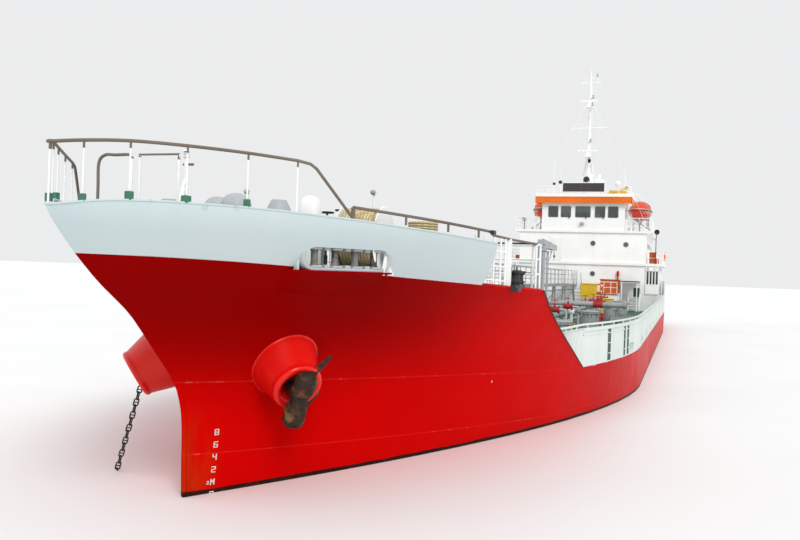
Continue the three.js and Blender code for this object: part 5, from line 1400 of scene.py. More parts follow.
legs.make("catwalk_leg_frames", GREY, "deck_grey", smooth=40)
rails = Build()
for dy in (-0.47, 0.47):
    rail(rails, [(x, CAT_Y + dy, CAT_Z - 0.1) for x in spread(27.05, -21.63, 28)], (0.45, 0.78, 1.1), 0.017,
         0.024, 0.022)
rails.make("catwalk_handrails", PALE_GREY, "house_white", "catwalk", smooth=50)
steps = Build()
for x, run in ((24.2, 1.5), (-1.0, 1.5), (-18.2, -1.5)):
    for y in (CAT_Y + 0.55, CAT_Y + 1.15):
        steps.tube([(x, y, CAT_Z - 0.1), (x + run, y, DECK_Z)], 0.03)
        steps.tube([(x, y, CAT_Z + 0.85), (x + run, y, DECK_Z + 0.9), (x + run, y, DECK_Z)], 0.02)
    stairs(steps, (x, CAT_Z - 0.1), (x + run, DECK_Z), CAT_Y + 0.55, CAT_Y + 1.15, 7, 0.015)
steps.make("catwalk_steps", GREY, "deck_grey", smooth=40)


# Cargo pipes with flanges, valves, handwheels, drip trays and a manifold
def flange(build, at, axis, r=0.17, thick=0.035, bolts=8):
    build.disc(at, r, -thick, thick, axis)
    axis, side, third = square_to(axis)
    for c in arc(at, r - 0.028, side, third, turns(bolts)):
        build.disc(c, 0.013, -thick - 0.016, thick + 0.016, axis, 6)
    return build


def handwheel(build, at, r=0.17):
    at = Vector(at)
    _, side, third = square_to(Z)
    build.hoop(at, r, 0.014, side, third, 22, 8)
    build.tubes([[at, end] for end in arc(at, r, side, third, turns(5))], 0.01, 6)
    return build.disc(at, 0.03, -0.03, 0.03, sides=10)


def valve(bodies, wheels, x, y, z, r=0.11):
    """A gate valve on a pipe across the ship, its spindle upright."""
    bodies.lathe([(0, -0.17), (r + 0.02, -0.17), (r + 0.05, -0.08), (r + 0.05, 0.08), (r + 0.02, 0.17),
                  (0, 0.17)],
                 (x, y, z), TO_PORT, 20)
    for side in SIDES:
        flange(bodies, (x, y + side * 0.18, z), TO_PORT)
    bodies.lathe([(0, 0), (r * 0.8, 0), (r * 0.62, 0.14), (r * 0.8, 0.145), (r * 0.8, 0.175), (0, 0.18)],
                 (x, y, z + 0.06), sides=16)
    bodies.poles([(x, y)], z + 0.2, z + 0.46, 0.014)
    handwheel(wheels, (x, y, z + 0.4))


LINES, LINE_Z = [1.0, 1.45, 1.9], 2.0
CROSS, CROSS_Z = [(2.7, 1.0), (1.85, 1.45), (1.0, 1.9)], 2.55
pipes, valves, wheels = Build(), Build(), Build()
for y in LINES:
    pipes.tube([(24, y, LINE_Z), (-17.9, y, LINE_Z)], 0.11, 24)
    for x in (20, 15, 10.5, 6, -4, -8, -12.5, -16):
        flange(pipes, (x, y, LINE_Z), AHEAD)
    pipes.disc((24, y, LINE_Z), 0.17, 0, 0.05, AHEAD)
    pipes.disc((-17.9, y, LINE_Z), 0.17, 0, 0.05, ASTERN)
for x, y in CROSS:
    pipes.tube([(x, -5, CROSS_Z), (x, 5, CROSS_Z)], 0.11, 24)
    pipes.tube([(x, y, LINE_Z), (x, y, CROSS_Z)], 0.11, 20)
    for side in SIDES:
        flange(pipes, (x, side * 4.96, CROSS_Z), TO_PORT)
        flange(pipes, (x, side * 4.2, CROSS_Z), TO_PORT)
        pipes.lathe([(0, 0), (0.165, 0), (0.165, 0.03), (0, 0.035)], (x, side * 5.0, CROSS_Z), (0, side, 0))
        valve(valves, wheels, x, side * 3.7, CROSS_Z)
for x in (22, 12, -2, -10, -17.4):
    pipes.box(x - 0.08, x + 0.08, 0.8, 2.1, DECK_Z, DECK_Z + 0.03)
    for y in (0.85, 1.2, 1.68, 2.05):
        pipes.box(x - 0.04, x + 0.04, y - 0.035, y + 0.035, DECK_Z, 1.9)
    pipes.box(x - 0.06, x + 0.06, 0.8, 2.1, 1.84, 1.9)
    for y in LINES:
        pipes.tube(arc((x, y, LINE_Z), 0.12, Y, Z, [math.radians(a) for a in range(-30, 225, 15)]), 0.014, 6)
for side in SIDES:
    pipes.box(0.7, 3.0, side * 4.5 - 0.08, side * 4.5 + 0.08, 2.3, 2.42)
    for x in (0.75, 1.85, 2.95):
        pipes.block((x, side * 4.5, DECK_Z), 0.1, 0.1, 0, 2.32 - DECK_Z)
    # drip tray under the manifold
    for x0, x1, y0, y1, z1 in ((0.6, 3.1, 4.3, 5.6, 1.78), (0.6, 0.63, 4.3, 5.6, 2.0),
                               (3.07, 3.1, 4.3, 5.6, 2.0),
                               (0.6, 3.1, 4.3, 4.33, 2.0), (0.6, 3.1, 5.57, 5.6, 2.0)):
        pipes.box(x0, x1, side * y0, side * y1, 1.75, z1)
pipes.make("cargo_pipe_runs", GREY, "deck_grey", "cargo_pipes")
# branch valves to the tanks, small-bore lines and their valves
small = Build()
for x in (19, 14, 9, 4.5, -3, -7.5, -12, -15.5):
    y = LINES[int(abs(x)) % 3]
    small.tube([(x, y, LINE_Z), (x, y, 2.45), (x, 2.6, 2.45), (x, 2.9, 2.45), (x, 2.95, 2.35),
                (x, 2.95, DECK_Z)],
               0.055, 12)
    valve(valves, wheels, x, 2.45, 2.45, 0.07)
    small.disc((x, 2.95, DECK_Z), 0.12, 0, 0.04, sides=16)
    bridge = ((-2.0, DECK_Z), (-2.0, 2.3), (-2.15, 2.4), (-3.4, 2.4), (-3.5, 2.3), (-3.5, DECK_Z))
    small.tube([(x + 0.4, y, z) for y, z in bridge], 0.045, 10)
    handwheel(wheels, (x + 0.4, -2.7, 2.75), 0.12)
    small.poles([(x + 0.4, -2.7)], 2.4, 2.75, 0.014, 6)
for y, r, z in ((-1.7, 0.06, 1.75), (-1.95, 0.045, 1.7), (5.55, 0.035, 1.75), (2.3, 0.05, 1.72)):
    by_side = y > 5
    small.tube([(22.5, half_breadth(22.5, 1.6) - 0.6 if by_side else y, z), (18, y, z), (-17.5, y, z)], r, 12)
    for x in range(-16, 18 if by_side else 22, 4):
        small.box(x - 0.03, x + 0.03, y - r, y + r, DECK_Z, z)
small.make("small_bore_lines", PALE_GREY, "deck_grey", smooth=40)
valves.make("valve_bodies", VALVE_RED, "deck_grey")
wheels.make("valve_wheels", SIGNAL_RED, "hull_red", smooth=50)

# Tank hatches: coamings, hinged lids, dogs and their bolts
HATCH_XS, HATCH_Y = [16.5, 6.5, -5.5, -14], 3.7
COAMING = [(0.3, 0.0), (0.42, 0), (0.42, 0.79), (0.48, 0.8), (0.48, 0.845), (0.36, 0.845), (0.36, 0.0)]
HINGE = [(3.3, 0.7), (3.11, 0.78), (3.13, 0.89), (3.24, 0.9), (3.33, 0.8)]
LID = [(0, 0.852), (0.46, 0.852), (0.48, 0.862), (0.48, 0.895), (0.46, 0.905), (0.32, 0.93), (0.294, 0.942),
       (0.1, 0.95), (0, 0.95)]
LID_CAP = [(0, 0.94), (0.09, 0.94), (0.1, 0.955), (0.1, 0.985), (0.06, 1.0), (0, 1.0)]
GRIP = ((-0.15, 0.93), (-0.15, 1.02), (0.15, 1.02), (0.15, 0.93))
coamings, dogs = Build(), Build()
for x in HATCH_XS:
    centre = Vector((x, HATCH_Y, DECK_Z))
    coamings.lathe(COAMING, centre, sides=40)
    for t in turns(10, math.pi / 10):
        out, aside = X * math.cos(t) + Y * math.sin(t), Y * math.cos(t) - X * math.sin(t)
        coamings.plate(centre + out * 0.45 + Z * 0.73, out, aside, (0.06, 0.02, 0.12))
    for dx in (-0.12, 0.12):
        coamings.prism([(y, DECK_Z + h) for y, h in HINGE], x + dx - 0.02, x + dx + 0.02, "x")
    for k in range(1, 7):
        t = 2 * math.pi * (k - 0.25) / 8 - math.pi / 2 + 0.3
        c = centre + (X * math.cos(t) + Y * math.sin(t)) * 0.515
        dogs.tube([c + Z * 0.68, c + Z * 0.84], 0.014)
        dogs.lathe([(0, 0.8), (0.03, 0.8), (0.03, 0.82), (0, 0.83)], c, sides=6)
coamings.make("hatch_coaming_rings", GREY, "deck_grey", [f"hatch_coaming_{i}" for i in (1, 2, 3, 4)])
for number, x in enumerate(HATCH_XS, 1):
    lid = Build().lathe(LID, (x, HATCH_Y, DECK_Z), sides=40)
    for dx in (-0.2, 0.2):
        lid.box(x + dx - 0.03, x + dx + 0.03, 3.16, 3.4, DECK_Z + 0.865, DECK_Z + 0.898)
    lid.tube([(x + dx, 3.85, DECK_Z + up) for dx, up in GRIP], 0.014)
    lid.lathe(LID_CAP, (x - 0.02, 3.62, DECK_Z), sides=18)
    node = f"hatch_lid_{number}"
    lid.make(f"{node}_cover", GREY, "deck_grey", node, node, smooth=30)
dogs.make("hatch_dogs", YELLOW, "safety_orange", smooth=40)
vents = Build()
for x in (19.3, 11.5, 3.9, -9.5, -16.0):
    for y, top in ((-3.9, 2.75), (2.55, 2.1)):
        vents.poles([(x, y)], DECK_Z, top, 0.07, 14)
        vents.lathe([(0, 0), (0.1, 0), (0.14, 0.05), (0.14, 0.2), (0.1, 0.26), (0, 0.28)], (x, y, top - 0.03),
                    sides=20)
        vents.disc((x, y, DECK_Z), 0.13, 0, 0.03, sides=18)
vents.make("tank_vents", WHITE, "house_white", smooth=40)

# Hose crane: column, jib with its stiffeners and ram, hook block, and the crutch it rests in
CRANE_Y, COLUMN_LADDER_X, HOOK_X, CRUTCH_X = 0.35, 0.27, -4.73, -2.2
column = Build().lathe([(0, 0), (0.42, 0), (0.42, 0.1), (0.24, 0.11), (0.22, 0.14), (0.22, 3.72),
                        (0.24, 3.78),
                        (0.3, 3.8), (0.3, 3.9), (0, 3.9)], (0, CRANE_Y, DECK_Z), sides=32)
for t in turns(8, math.pi / 8):
    out, aside = X * math.cos(t) + Y * math.sin(t), Y * math.cos(t) - X * math.sin(t)
    column.plate(Vector((0, CRANE_Y, DECK_Z + 0.2)) + out * 0.29, out, aside, (0.2, 0.016, 0.2))
for k in range(10):
    z = DECK_Z + 0.4 + 0.33 * k
    column.tube([(COLUMN_LADDER_X, 0.2, z), (COLUMN_LADDER_X, 0.5, z)], 0.012, 6)
column.poles([(COLUMN_LADDER_X, y) for y in (0.2, 0.5)], DECK_Z + 0.2, 5.2, 0.014, 6)
column.make("crane_post", PALE_GREY, "deck_grey", "crane_column")
jib = Build().lathe([(0, 0.002), (0.3, 0.002), (0.3, 0.085), (0.26, 0.1), (0, 0.1)], (0, CRANE_Y, 5.35),
                    sides=32)
jib.prism([(0.35, 5.44), (0.35, 5.86), (-0.5, 5.86), (-4.85, 5.7), (-4.85, 5.44), (-0.5, 5.44)], 0.21, 0.49,
          "y")
for y in (0.2, 0.48):
    for ends in (((0.35, 5.86), (-0.5, 5.86)), ((-0.5, 5.86), (-4.85, 5.7)), ((0.35, 5.45), (-4.85, 5.45))):
        jib.loft([[(x, y, z - 0.02), (x, y + 0.02, z - 0.02), (x, y + 0.02, z + 0.015), (x, y, z + 0.015)]
                  for x, z in ends])
jib.disc((0.15, CRANE_Y, 5.66), 0.13, -0.2, 0.2, TO_PORT)
jib.tube([(-0.2, CRANE_Y, 5.9), (-1.2, CRANE_Y, 5.88)], 0.045, 12)
jib.make("crane_boom", PALE_GREY, "deck_grey", "crane_jib", "crane_jib", bevel=0.008)
hook = Build().tubes([[(HOOK_X, y, 5.5), (HOOK_X, y, 5.1)] for y in (0.33, 0.37)], 0.008, 6)
hook.box(HOOK_X - 0.07, HOOK_X + 0.07, 0.305, 0.395, 5.02, 5.15)
bend = ((0, 5.02), (0, 4.99), (0.04, 4.95), (0.03, 4.91), (-0.005, 4.895), (-0.045, 4.92))
hook.tube([(HOOK_X + dx, CRANE_Y, z) for dx, z in bend], 0.014)
hook.make("crane_hook", BLACK, "roller_dark", body="crane_jib", smooth=40)
crutch = Build().poles([(CRUTCH_X, CRANE_Y)], DECK_Z, 5.28, 0.07, 16)
crutch.lathe([(0, 0), (0.2, 0), (0.2, 0.03), (0.08, 0.05), (0, 0.05)], (CRUTCH_X, CRANE_Y, DECK_Z), sides=20)
crutch.boxes((-2.32, -2.08, 0.1, 0.6, 5.26, 5.3),
             *((-2.3, -2.1, y, y + 0.03, 5.3, 5.36) for y in (0.11, 0.56)))
for side in SIDES:
    crutch.tube([(CRUTCH_X, CRANE_Y + side * 0.05, 4.7), (CRUTCH_X, CRANE_Y + side * 0.22, 5.27)], 0.025)
crutch.make("jib_rest", PALE_GREY, "deck_grey", "jib_crutch", smooth=40)

# Small house and locker before the accommodation
hut = Build().boxes((-21.72, -18.4, 0.95, 3.1, DECK_Z, 2.72), (-21.74, -18.33, 0.88, 3.17, 2.7, 2.76),
                    *((x - 0.36, x + 0.36, 3.1, 3.13, DECK_Z + 0.12, DECK_Z + 1.18) for x in (-19.3, -20.6)))
hut.paint(1).boxes((-20.9, -20.0, 1.68, 3.08, 2.75, 3.8), (-20.95, -19.95, 1.63, 3.13, 3.78, 3.82))
hut.make("small_deck_house", [WHITE, LOCKER_BROWN], "house_white", "deckhouse", smooth=30, bevel=0.01)
stores = Build()
for x, y, long, deep, high, paint in ((-9.4, 3.2, 1.5, 0.6, 1.1, 0), (-17.6, -4.6, 1.4, 0.8, 1.1, 1),
                                      (-19.7, -3.6, 1.2, 0.8, 0.9, 1), (10.2, -4.2, 1.0, 0.6, 0.7, 2),
                                      (-11.4, -4.4, 1.2, 0.7, 0.8, 2), (20.4, 3.5, 0.8, 0.5, 0.7, 3)):
    stores.paint(paint).block((x, y, DECK_Z), long, deep, 0.08, high)
    stores.block((x, y, DECK_Z), long + 0.06, deep + 0.06, high, high + 0.05)
    for dx in (0.08 - long / 2, long / 2 - 0.08):
        stores.block((x + dx, y, DECK_Z), 0.08, deep - 0.04, 0, 0.08)
stores.make("deck_lockers", [YELLOW, ORANGE, GREY, SIGNAL_RED], "safety_orange", bevel=0.012)


# Accommodation: openings, doors, rails and ladders on the two tiers
def portlight(build, at, axis, r=0.17):
    """A round window: rim and bolts in the first finish, glass in the second."""
    rim = [(r, -0.01), (r + 0.045, -0.01), (r + 0.045, 0.025), (r + 0.03, 0.035), (r, 0.035)]
    build.paint(0).lathe(rim, at, axis, 28)
    return build.paint(1).disc(at, r + 0.01, 0.0, 0.015, axis, 28)


def pane(build, at, axis, wide, high, round_by=0.09, frame_wide=0.045):
    """An upright window with rounded corners, its middle at a place and facing along an axis."""
    ahead = Vector(axis)
    side = Z.cross(ahead)

    def ring(grow, lift):
        middle = Vector(at) + ahead * lift
        row = []
        for sx, sz, start in ((1, 1, 0), (-1, 1, 90), (-1, -1, 180), (1, -1, 270)):
            corner = middle + side * sx * (wide / 2 - round_by) + Z * sz * (high / 2 - round_by)
            row += arc(corner, round_by + grow, side, Z, [math.radians(start + 22.5 * k) for k in range(5)])
        return row
    frame_rings = ((0, -0.01), (frame_wide, -0.01), (frame_wide, 0.025), (0.008, 0.03), (0, 0.022),
                   (0, -0.01))
    build.paint(0).grid([ring(g, h) for g, h in frame_rings], closed=True)
    return build.paint(1).loft([ring(0.005, -0.004), ring(0.005, 0.012)])


def weather_door(build, at, axis, wide=0.72, high=1.75):
    """A steel door with its coaming, six dogs and a handle; at is the middle of its sill."""
    ahead = Vector(axis)
    side = Z.cross(ahead)
    middle = Vector(at) + Z * (0.22 + high / 2)
    build.plate(middle - ahead * 0.005, side, Z, (wide + 0.12, high + 0.12, 0.05), ahead)
    build.plate(middle + ahead * 0.03, side, Z, (wide, high, 0.05), ahead)
    for up in (-high / 2 + 0.25, 0, high / 2 - 0.25):
        for across in (-wide / 2 - 0.01, wide / 2 + 0.01):
            build.plate(middle + side * across + Z * up + ahead * 0.06, side, Z, (0.13, 0.03, 0.03), ahead)
    grip = middle + side * (wide / 2 - 0.12)
    return build.tube([grip + ahead * 0.05, grip + ahead * 0.1, grip + ahead * 0.1 + Z * 0.18], 0.012, 6)


TIER_HALF, AFTER_TIER_X, AFTER_HOUSE_X = 4.9, -33.2, -31.6
openings, doors = Build(), Build()
for y, z in ((0.86, 6.6), (3.37, 6.55), (0.9, 4.22)):
    portlight(openings, (HOUSE_X, y, z), AHEAD)
for side in SIDES:
    for z, xs in ((6.55, (-23.6, -25.4, -27.2, -29.0, -30.8)), (4.2, (-23.2, -26.2, -28.8, -30.4, -32.2))):
        for x in xs:
            portlight(openings, (x, side * TIER_HALF, z), (0, side, 0))
    weather_door(doors, (-24.7, side * TIER_HALF, POOP_Z), (0, side, 0))
    weather_door(doors, (-27.9, side * TIER_HALF, TIER_Z - 0.12), (0, side, 0))
    weather_door(doors, (AFTER_HOUSE_X, side * 2.5, TIER_Z - 0.12), ASTERN)
for y in (-3.4, -1.6, 1.6, 3.4):
    portlight(openings, (AFTER_TIER_X, y, 4.2), ASTERN)
    portlight(openings, (AFTER_HOUSE_X, y, 6.55), ASTERN)
openings.make("portlights", [PALE_GREY, GLASS], "house_white")
weather_door(doors, (AFTER_TIER_X, 0, POOP_Z), ASTERN, 0.8)
weather_door(doors, (HOUSE_X, -2.0, TIER_Z - 0.1), AHEAD)
weather_door(doors, (HOUSE_X, -3.9, DECK_Z + 0.02), AHEAD)
doors.make("weather_doors", WHITE, "house_white", smooth=30, bevel=0.008)

# Dark opening beside the front door, canopy, stairs, glazed screen and jacket lockers
# painted shade: the first box is a thin dark sheet on the house front, in the glass finish, standing for the
# shaded inside of the opening beside the front door
dark, screen = Build().box(HOUSE_X, HOUSE_X + 0.02, 4.05, 4.56, 2.46, 3.22), Build()
for side in SIDES:
    dark.box(-21.72, -21.685, side * 4.95, side * 5.85, 3.5, 4.56)
    for y in spread(4.95, 5.85, 4):
        screen.box(-21.74, -21.65, side * y - 0.035, side * y + 0.035, 3.4, 4.96)
    screen.boxes((-21.74, -21.66, side * 4.9, side * 5.9, 2.78, 3.5),
                 (-21.75, -21.64, side * 4.9, side * 5.92, 3.46, 3.54),
                 (-21.75, -21.65, side * 4.9, side * 5.9, 4.54, 4.62))
dark.make("front_openings", GLASS, "house_white")
screen.boxes((-21.7, -19.6, 3.25, 4.45, 3.58, 3.64), (-21.7, -19.55, 3.2, 4.5, 3.63, 3.68))
screen.poles(((-19.65, 3.3), (-19.65, 4.4)), DECK_Z, 3.6, 0.035, 10)
for y in (3.72, 4.56):
    screen.tube([(-21.7, y, 2.72), (-20.4, y, DECK_Z)], 0.04)
    screen.tube([(-21.7, y, 3.6), (-20.4, y, 2.35), (-20.4, y, DECK_Z)], 0.02)
stairs(screen, (-21.7, 2.72), (-20.4, DECK_Z), 3.72, 4.56, 6, 0.015)
screen.make("front_screen_and_stairs", WHITE, "house_white", smooth=40, bevel=0.006)
Build().box(-18.45, -18.32, 0.95, 3.12, 2.69, 2.77).make("canopy_edge", RUST_STAIN, "house_white",
                                                         bevel=0.008)
Build().box(-21.7, -19.52, 3.18, 4.54, 3.675, 3.74).make("canopy_top", BLACK, "roller_dark", bevel=0.008)
jackets = Build()
for z in (TIER_Z, TIER_Z + 0.46):
    jackets.boxes((-22.3, -21.75, 5.14, 5.62, z + 0.02, z + 0.42),
                  (-22.33, -21.72, 5.11, 5.65, z + 0.36, z + 0.44))
for side in SIDES:
    for x, z in ((-30.6, POOP_Z), (-25.0, TIER_Z)):
        jackets.box(x - 0.5, x + 0.5, side * 5.3, side * 5.75, z + 0.02, z + 0.5)
jackets.make("jacket_lockers", LOCKER_BROWN, "safety_orange", bevel=0.012)

# Deck edges and guard rails
edges = Build()
for x0, x1, half, z in ((-28.2, -21.65, 6.2, TIER_Z), (-32.2, -21.65, 5.3, BOAT_DECK_Z)):
    for side in SIDES:
        edges.box(x0, x1, side * (half - 0.01), side * (half + 0.025), z - 0.17, z + 0.03)
    edges.box(x1 - 0.01, x1 + 0.025, -half, half, z - 0.17, z + 0.03)
    edges.box(x0 - 0.025, x0 + 0.01, -half, half, z - 0.17, z + 0.03)
edges.make("deck_edge_trims", WHITE, "house_white", bevel=0.006)
# height, then the places of the feet of each rail that has a twin to starboard
TWIN_RAILS = [(TIER_Z, [(x, 6.12) for x in (-21.75, -22.9, -24.0, -25.1, -26.2, -27.3, -28.1)]),
              (TIER_Z, [(-28.12, y) for y in (6.12, 5.5, 4.98)]),
              (TIER_Z, [(-21.72, y) for y in (6.12, 5.75)]),
              (TIER_Z, [(x, 4.82) for x in (-31.7, -32.4, -33.1)]),
              (BOAT_DECK_Z, [(x, 5.22) for x in (-21.75, -22.8, -23.9, -25.0, -26.0)]),
              (BOAT_DECK_Z, [(x, 5.22) for x in (-31.2, -32.1)]),
              (BOAT_DECK_Z, [(-21.72, y) for y in (5.22, 4.3, 3.4)])]
guards = Build()
for z, feet in TWIN_RAILS:
    for side in SIDES:
        rail(guards, [(x, side * y, z) for x, y in feet])
rail(guards, [(-32.12, y, BOAT_DECK_Z) for y in (-5.22, -4.1, -3.0, -1.8, -0.6, 0.6, 1.8, 3.0, 4.1, 5.22)])
rail(guards, [(-33.1, y, TIER_Z) for y in (-4.8, -3.6, -2.4, -1.2, 0, 1.2, 2.4, 3.6, 4.8)])
guards.make("house_guard_rails", WHITE, "house_white", smooth=50)


def ladder(build, x, y, z0, z1, axis, wide=0.4, off=0.12):
    """An upright ladder on brackets, standing off a wall that faces along an axis."""
    ahead = Vector(axis)
    side = Z.cross(ahead)
    stiles = [Vector((x, y, 0)) + ahead * off + side * s for s in (-wide / 2, wide / 2)]
    for foot in stiles:
        build.tube([foot + Z * z0, foot + Z * z1], 0.018)
        for z in (z0 + 0.3, (z0 + z1) / 2, z1 - 0.3):
            build.tube([foot + Z * z, foot - ahead * (off + 0.01) + Z * z], 0.014, 6)
    for k in range(int((z1 - z0) / 0.28)):
        build.tube([foot + Z * (z0 + 0.2 + 0.28 * k) for foot in stiles], 0.012, 6)
    return build


ladders = Build()
for side in SIDES:
    ladder(ladders, -30.0, side * TIER_HALF, POOP_Z, 7.5, (0, side, 0))
    for dx in (-0.35, 0.35):
        ladders.tube([(-28.9 + dx, side * 5.4, POOP_Z), (-27.4 + dx, side * 5.4, TIER_Z)], 0.03)
    stairs(ladders, (-28.9, POOP_Z), (-27.4, TIER_Z), side * 5.3, side * 5.5, 9, 0.012, 0.35)
ladder(ladders, -25.7, 2.6, BOAT_DECK_Z, 10.2, ASTERN)
ladders.make("house_ladders", WHITE, "house_white", smooth=45)

# Lamps, loudspeaker, lifebuoys, fire points, vents and pipes on the house
FLOOD_BACK = [(0, -0.1), (0.08, -0.09), (0.15, 0.04), (0.16, 0.06), (0.14, 0.07), (0, 0.07)]
FLOOD_FRONT = [(0, 0.068), (0.135, 0.068), (0.12, 0.085), (0, 0.1)]
lamps = Build()
for y, z, stand in ((-4.57, 8.43, [(-21.6, -4.57, BOAT_DECK_Z), (-21.6, -4.57, 8.33)]),
                    (-0.04, 8.12, [(-21.72, -0.04, 8.0), (-21.6, -0.04, 8.0)]),
                    (4.36, 8.32, [(-21.6, 4.36, BOAT_DECK_Z), (-21.6, 4.36, 8.22)])):
    lamps.paint(0).tube(stand, 0.025)
    lamps.lathe(FLOOD_BACK, (-21.55, y, z), (0.9, 0, -0.45), 20)
    lamps.paint(1).lathe(FLOOD_FRONT, (-21.55, y, z), (0.9, 0, -0.45), 20)
lamps.paint(0).poles([(-21.62, 5.6)], TIER_Z, 7.55, 0.028)
lamps.lathe([(0, -0.16), (0.05, -0.15), (0.06, -0.02), (0.12, 0.08), (0.2, 0.14), (0.19, 0.15), (0, 0.03)],
            (-21.55, 5.62, 7.55), (1, 0.2, -0.1), 22)
lamps.make("flood_lamps", [BLACK, LENS], "house_white")


def lifebuoy(build, at, axis, r=0.3):
    """An orange ring with four narrow white bands."""
    _, side, third = square_to(axis)
    for quarter in range(4):
        for paint, start, end in ((0, 10, 80), (1, 80, 100)):
            angles = [math.radians(90 * quarter + a) for a in spread(start, end, 6)]
            build.paint(paint).tube(arc(at, r, side, third, angles), 0.065, 12)
    return build


buoys = lifebuoy(Build(), (-18.3, 1.74, 3.12), AHEAD)
for at in ((-24.6, 6.2, 5.75), (-24.6, -6.2, 5.75), (-34.2, 4.9, 3.4), (-34.2, -4.9, 3.4),
           (12.0, -1.25, 4.1)):
    lifebuoy(buoys, at, TO_PORT)
buoys.make("lifebuoys", [ORANGE, WHITE], "safety_orange", smooth=50)
roof_rail = rail(Build(), [(-18.42, y, 2.76) for y in (1.1, 1.6, 2.1, 2.6, 3.05)], (0.45, 0.85))
roof_rail.make("small_house_rail", WHITE, "house_white", smooth=50)
yellow = Build().boxes((-18.3, -17.9, 0.45, 1.62, 2.35, 3.4), (-18.34, -17.86, 0.41, 1.66, 3.38, 3.46),
                       (-17.9, -17.88, 0.5, 1.0, 2.42, 3.3), (-17.9, -17.88, 1.06, 1.57, 2.42, 3.3))
for x in (-18.25, -17.95):
    for y in (0.62, 1.68):
        yellow.block((x, y, DECK_Z), 0.06, 0.06, 0, 2.4 - DECK_Z)
yellow.make("foam_locker", YELLOW, "safety_orange", bevel=0.012)
red_post = Build().poles([(-21.6, 2.85)], 2.76, 4.3, 0.06, 14)
red_post.lathe([(0, 0), (0.09, 0), (0.1, 0.05), (0.1, 0.3), (0.07, 0.38), (0, 0.4)], (-21.6, 2.85, 4.1),
               sides=18)
for x, y in ((8.2, 4.4), (-2.5, -4.6), (15.0, -4.6)):
    red_post.poles([(x, y)], DECK_Z, 2.2, 0.06, 14)
    red_post.lathe([(0, 0), (0.12, 0), (0.12, 0.05), (0.08, 0.08), (0.08, 0.2), (0, 0.22)], (x, y, 2.15),
                   sides=18)
    red_post.tube([(x, y, 1.95), (x, y + 0.25, 1.95)], 0.05, 12)
red_post.make("fire_posts", SIGNAL_RED, "safety_orange", smooth=40)
trunks = Build()
for x, y, z, r, h in ((-22.6, -3.9, BOAT_DECK_Z, 0.16, 0.9), (-27.0, 2.0, BOAT_DECK_Z, 0.22, 1.0),
                      (-27.0, -2.0, BOAT_DECK_Z, 0.22, 1.0), (-32.4, 3.9, TIER_Z, 0.25, 1.1),
                      (-32.4, -3.9, TIER_Z, 0.25, 1.1), (-34.6, 2.8, POOP_Z, 0.2, 0.9)):
    trunks.poles([(x, y)], z, z + h, r * 0.62, 20)
    trunks.lathe([(0, 0), (r, 0), (r * 1.02, 0.04), (r, 0.2), (r * 0.7, 0.32), (0, 0.36)],
                 (x, y, z + h - 0.1))
trunks.make("house_vent_heads", WHITE, "house_white", smooth=40)

# Wheelhouse: glass in every window with frames, wipers, and details on its two doors
WIN_Z, WIN_HIGH = 9.05, 0.88
glazing, gear = Build(), Build()
for y, wide in ((-2.32, 0.78), (-1.32, 0.78), (0, 1.18), (1.32, 0.78), (2.32, 0.78)):
    pane(glazing, (HOUSE_X - 0.02, y, WIN_Z), AHEAD, wide, WIN_HIGH)
for y in (-1.32, 0, 1.32):
    gear.tube([(HOUSE_X + 0.05, y + 0.25, 8.62), (HOUSE_X + 0.045, y + 0.02, 9.2)], 0.009, 6)
    gear.box(HOUSE_X + 0.02, HOUSE_X + 0.09, y + 0.2, y + 0.3, 8.53, 8.6)
for side in SIDES:
    pane(glazing, (-23.05, side * 3.18, WIN_Z), (0, side, 0), 1.08, WIN_HIGH)
    pane(glazing, (-25.68, side * 1.6, WIN_Z), ASTERN, 0.78, WIN_HIGH)
    gear.tube([(-24.95, side * 3.27, 8.3), (-24.95, side * 3.31, 8.3), (-24.95, side * 3.31, 8.55)], 0.013, 6)
glazing.make("wheelhouse_windows", [SIDE_WHITE, GLASS], "house_white")
gear.make("wipers", BLACK, "roller_dark", smooth=40)
for side, name in NAMED_SIDES:
    leaf = pane(Build(), (-24.6, side * 3.265, 9.02), (0, side, 0), 0.4, 0.65, 0.07, 0.035).paint(0)
    for z in (8.0, 9.4):
        leaf.box(-24.93, -24.3, side * 3.262, side * 3.275, z - 0.03, z + 0.03)
    leaf.make(f"{name}_door_window", [SIDE_WHITE, GLASS], "house_white", body=f"{name}_wheelhouse_door")

# Roof: orange brow, blank board with a frame, searchlight, lockers, aerial bases and rails
brow = Build().boxes((-21.42, -21.36, -3.72, 3.72, 9.72, 10.22), (-25.9, -21.36, 3.66, 3.72, 9.72, 10.22),
                     (-25.9, -21.36, -3.72, -3.66, 9.72, 10.22), (-21.38, -21.34, -3.74, 3.74, 10.16, 10.22))
brow.make("wheelhouse_brow", ORANGE, "safety_orange", bevel=0.008)
Build().box(-21.66, -21.54, -1.62, 1.62, 10.6, 11.33).make("blank_board", BOARD_DARK, "roller_dark",
                                                           bevel=0.006)
trim = Build()
for z in (10.57, 11.3):
    trim.box(-21.68, -21.52, -1.65, 1.65, z, z + 0.05)
for y in (-1.65, 1.6):
    trim.box(-21.68, -21.52, y, y + 0.05, 10.57, 11.35)
trim.make("board_frame", WHITE, "house_white", bevel=0.005)
roof = rail(Build(), [(-25.75, y, 10.45) for y in (-3.6, -2.4, -1.2, 0, 1.2, 2.4, 3.6)], (0.3, 0.6))
for side in SIDES:
    rail(roof, [(x, side * 3.62, 10.45) for x in (-25.7, -24.6, -23.5, -22.4, -21.6)], (0.3, 0.6))
    rail(roof, [(-21.55, side * y, 10.45) for y in (1.8, 2.7, 3.6)], (0.3, 0.6))
for x, y, top in ((-22.2, 0.15, 11.42), (-23.6, -2.1, 11.5), (-23.9, -2.65, 11.45), (-23.2, 2.5, 11.3),
                  (-22.6, 3.2, 11.0)):
    roof.poles([(x, y)], 10.18, top, 0.035, 10)
roof.box(-22.3, -22.1, -0.05, 0.35, 11.39, 11.42)
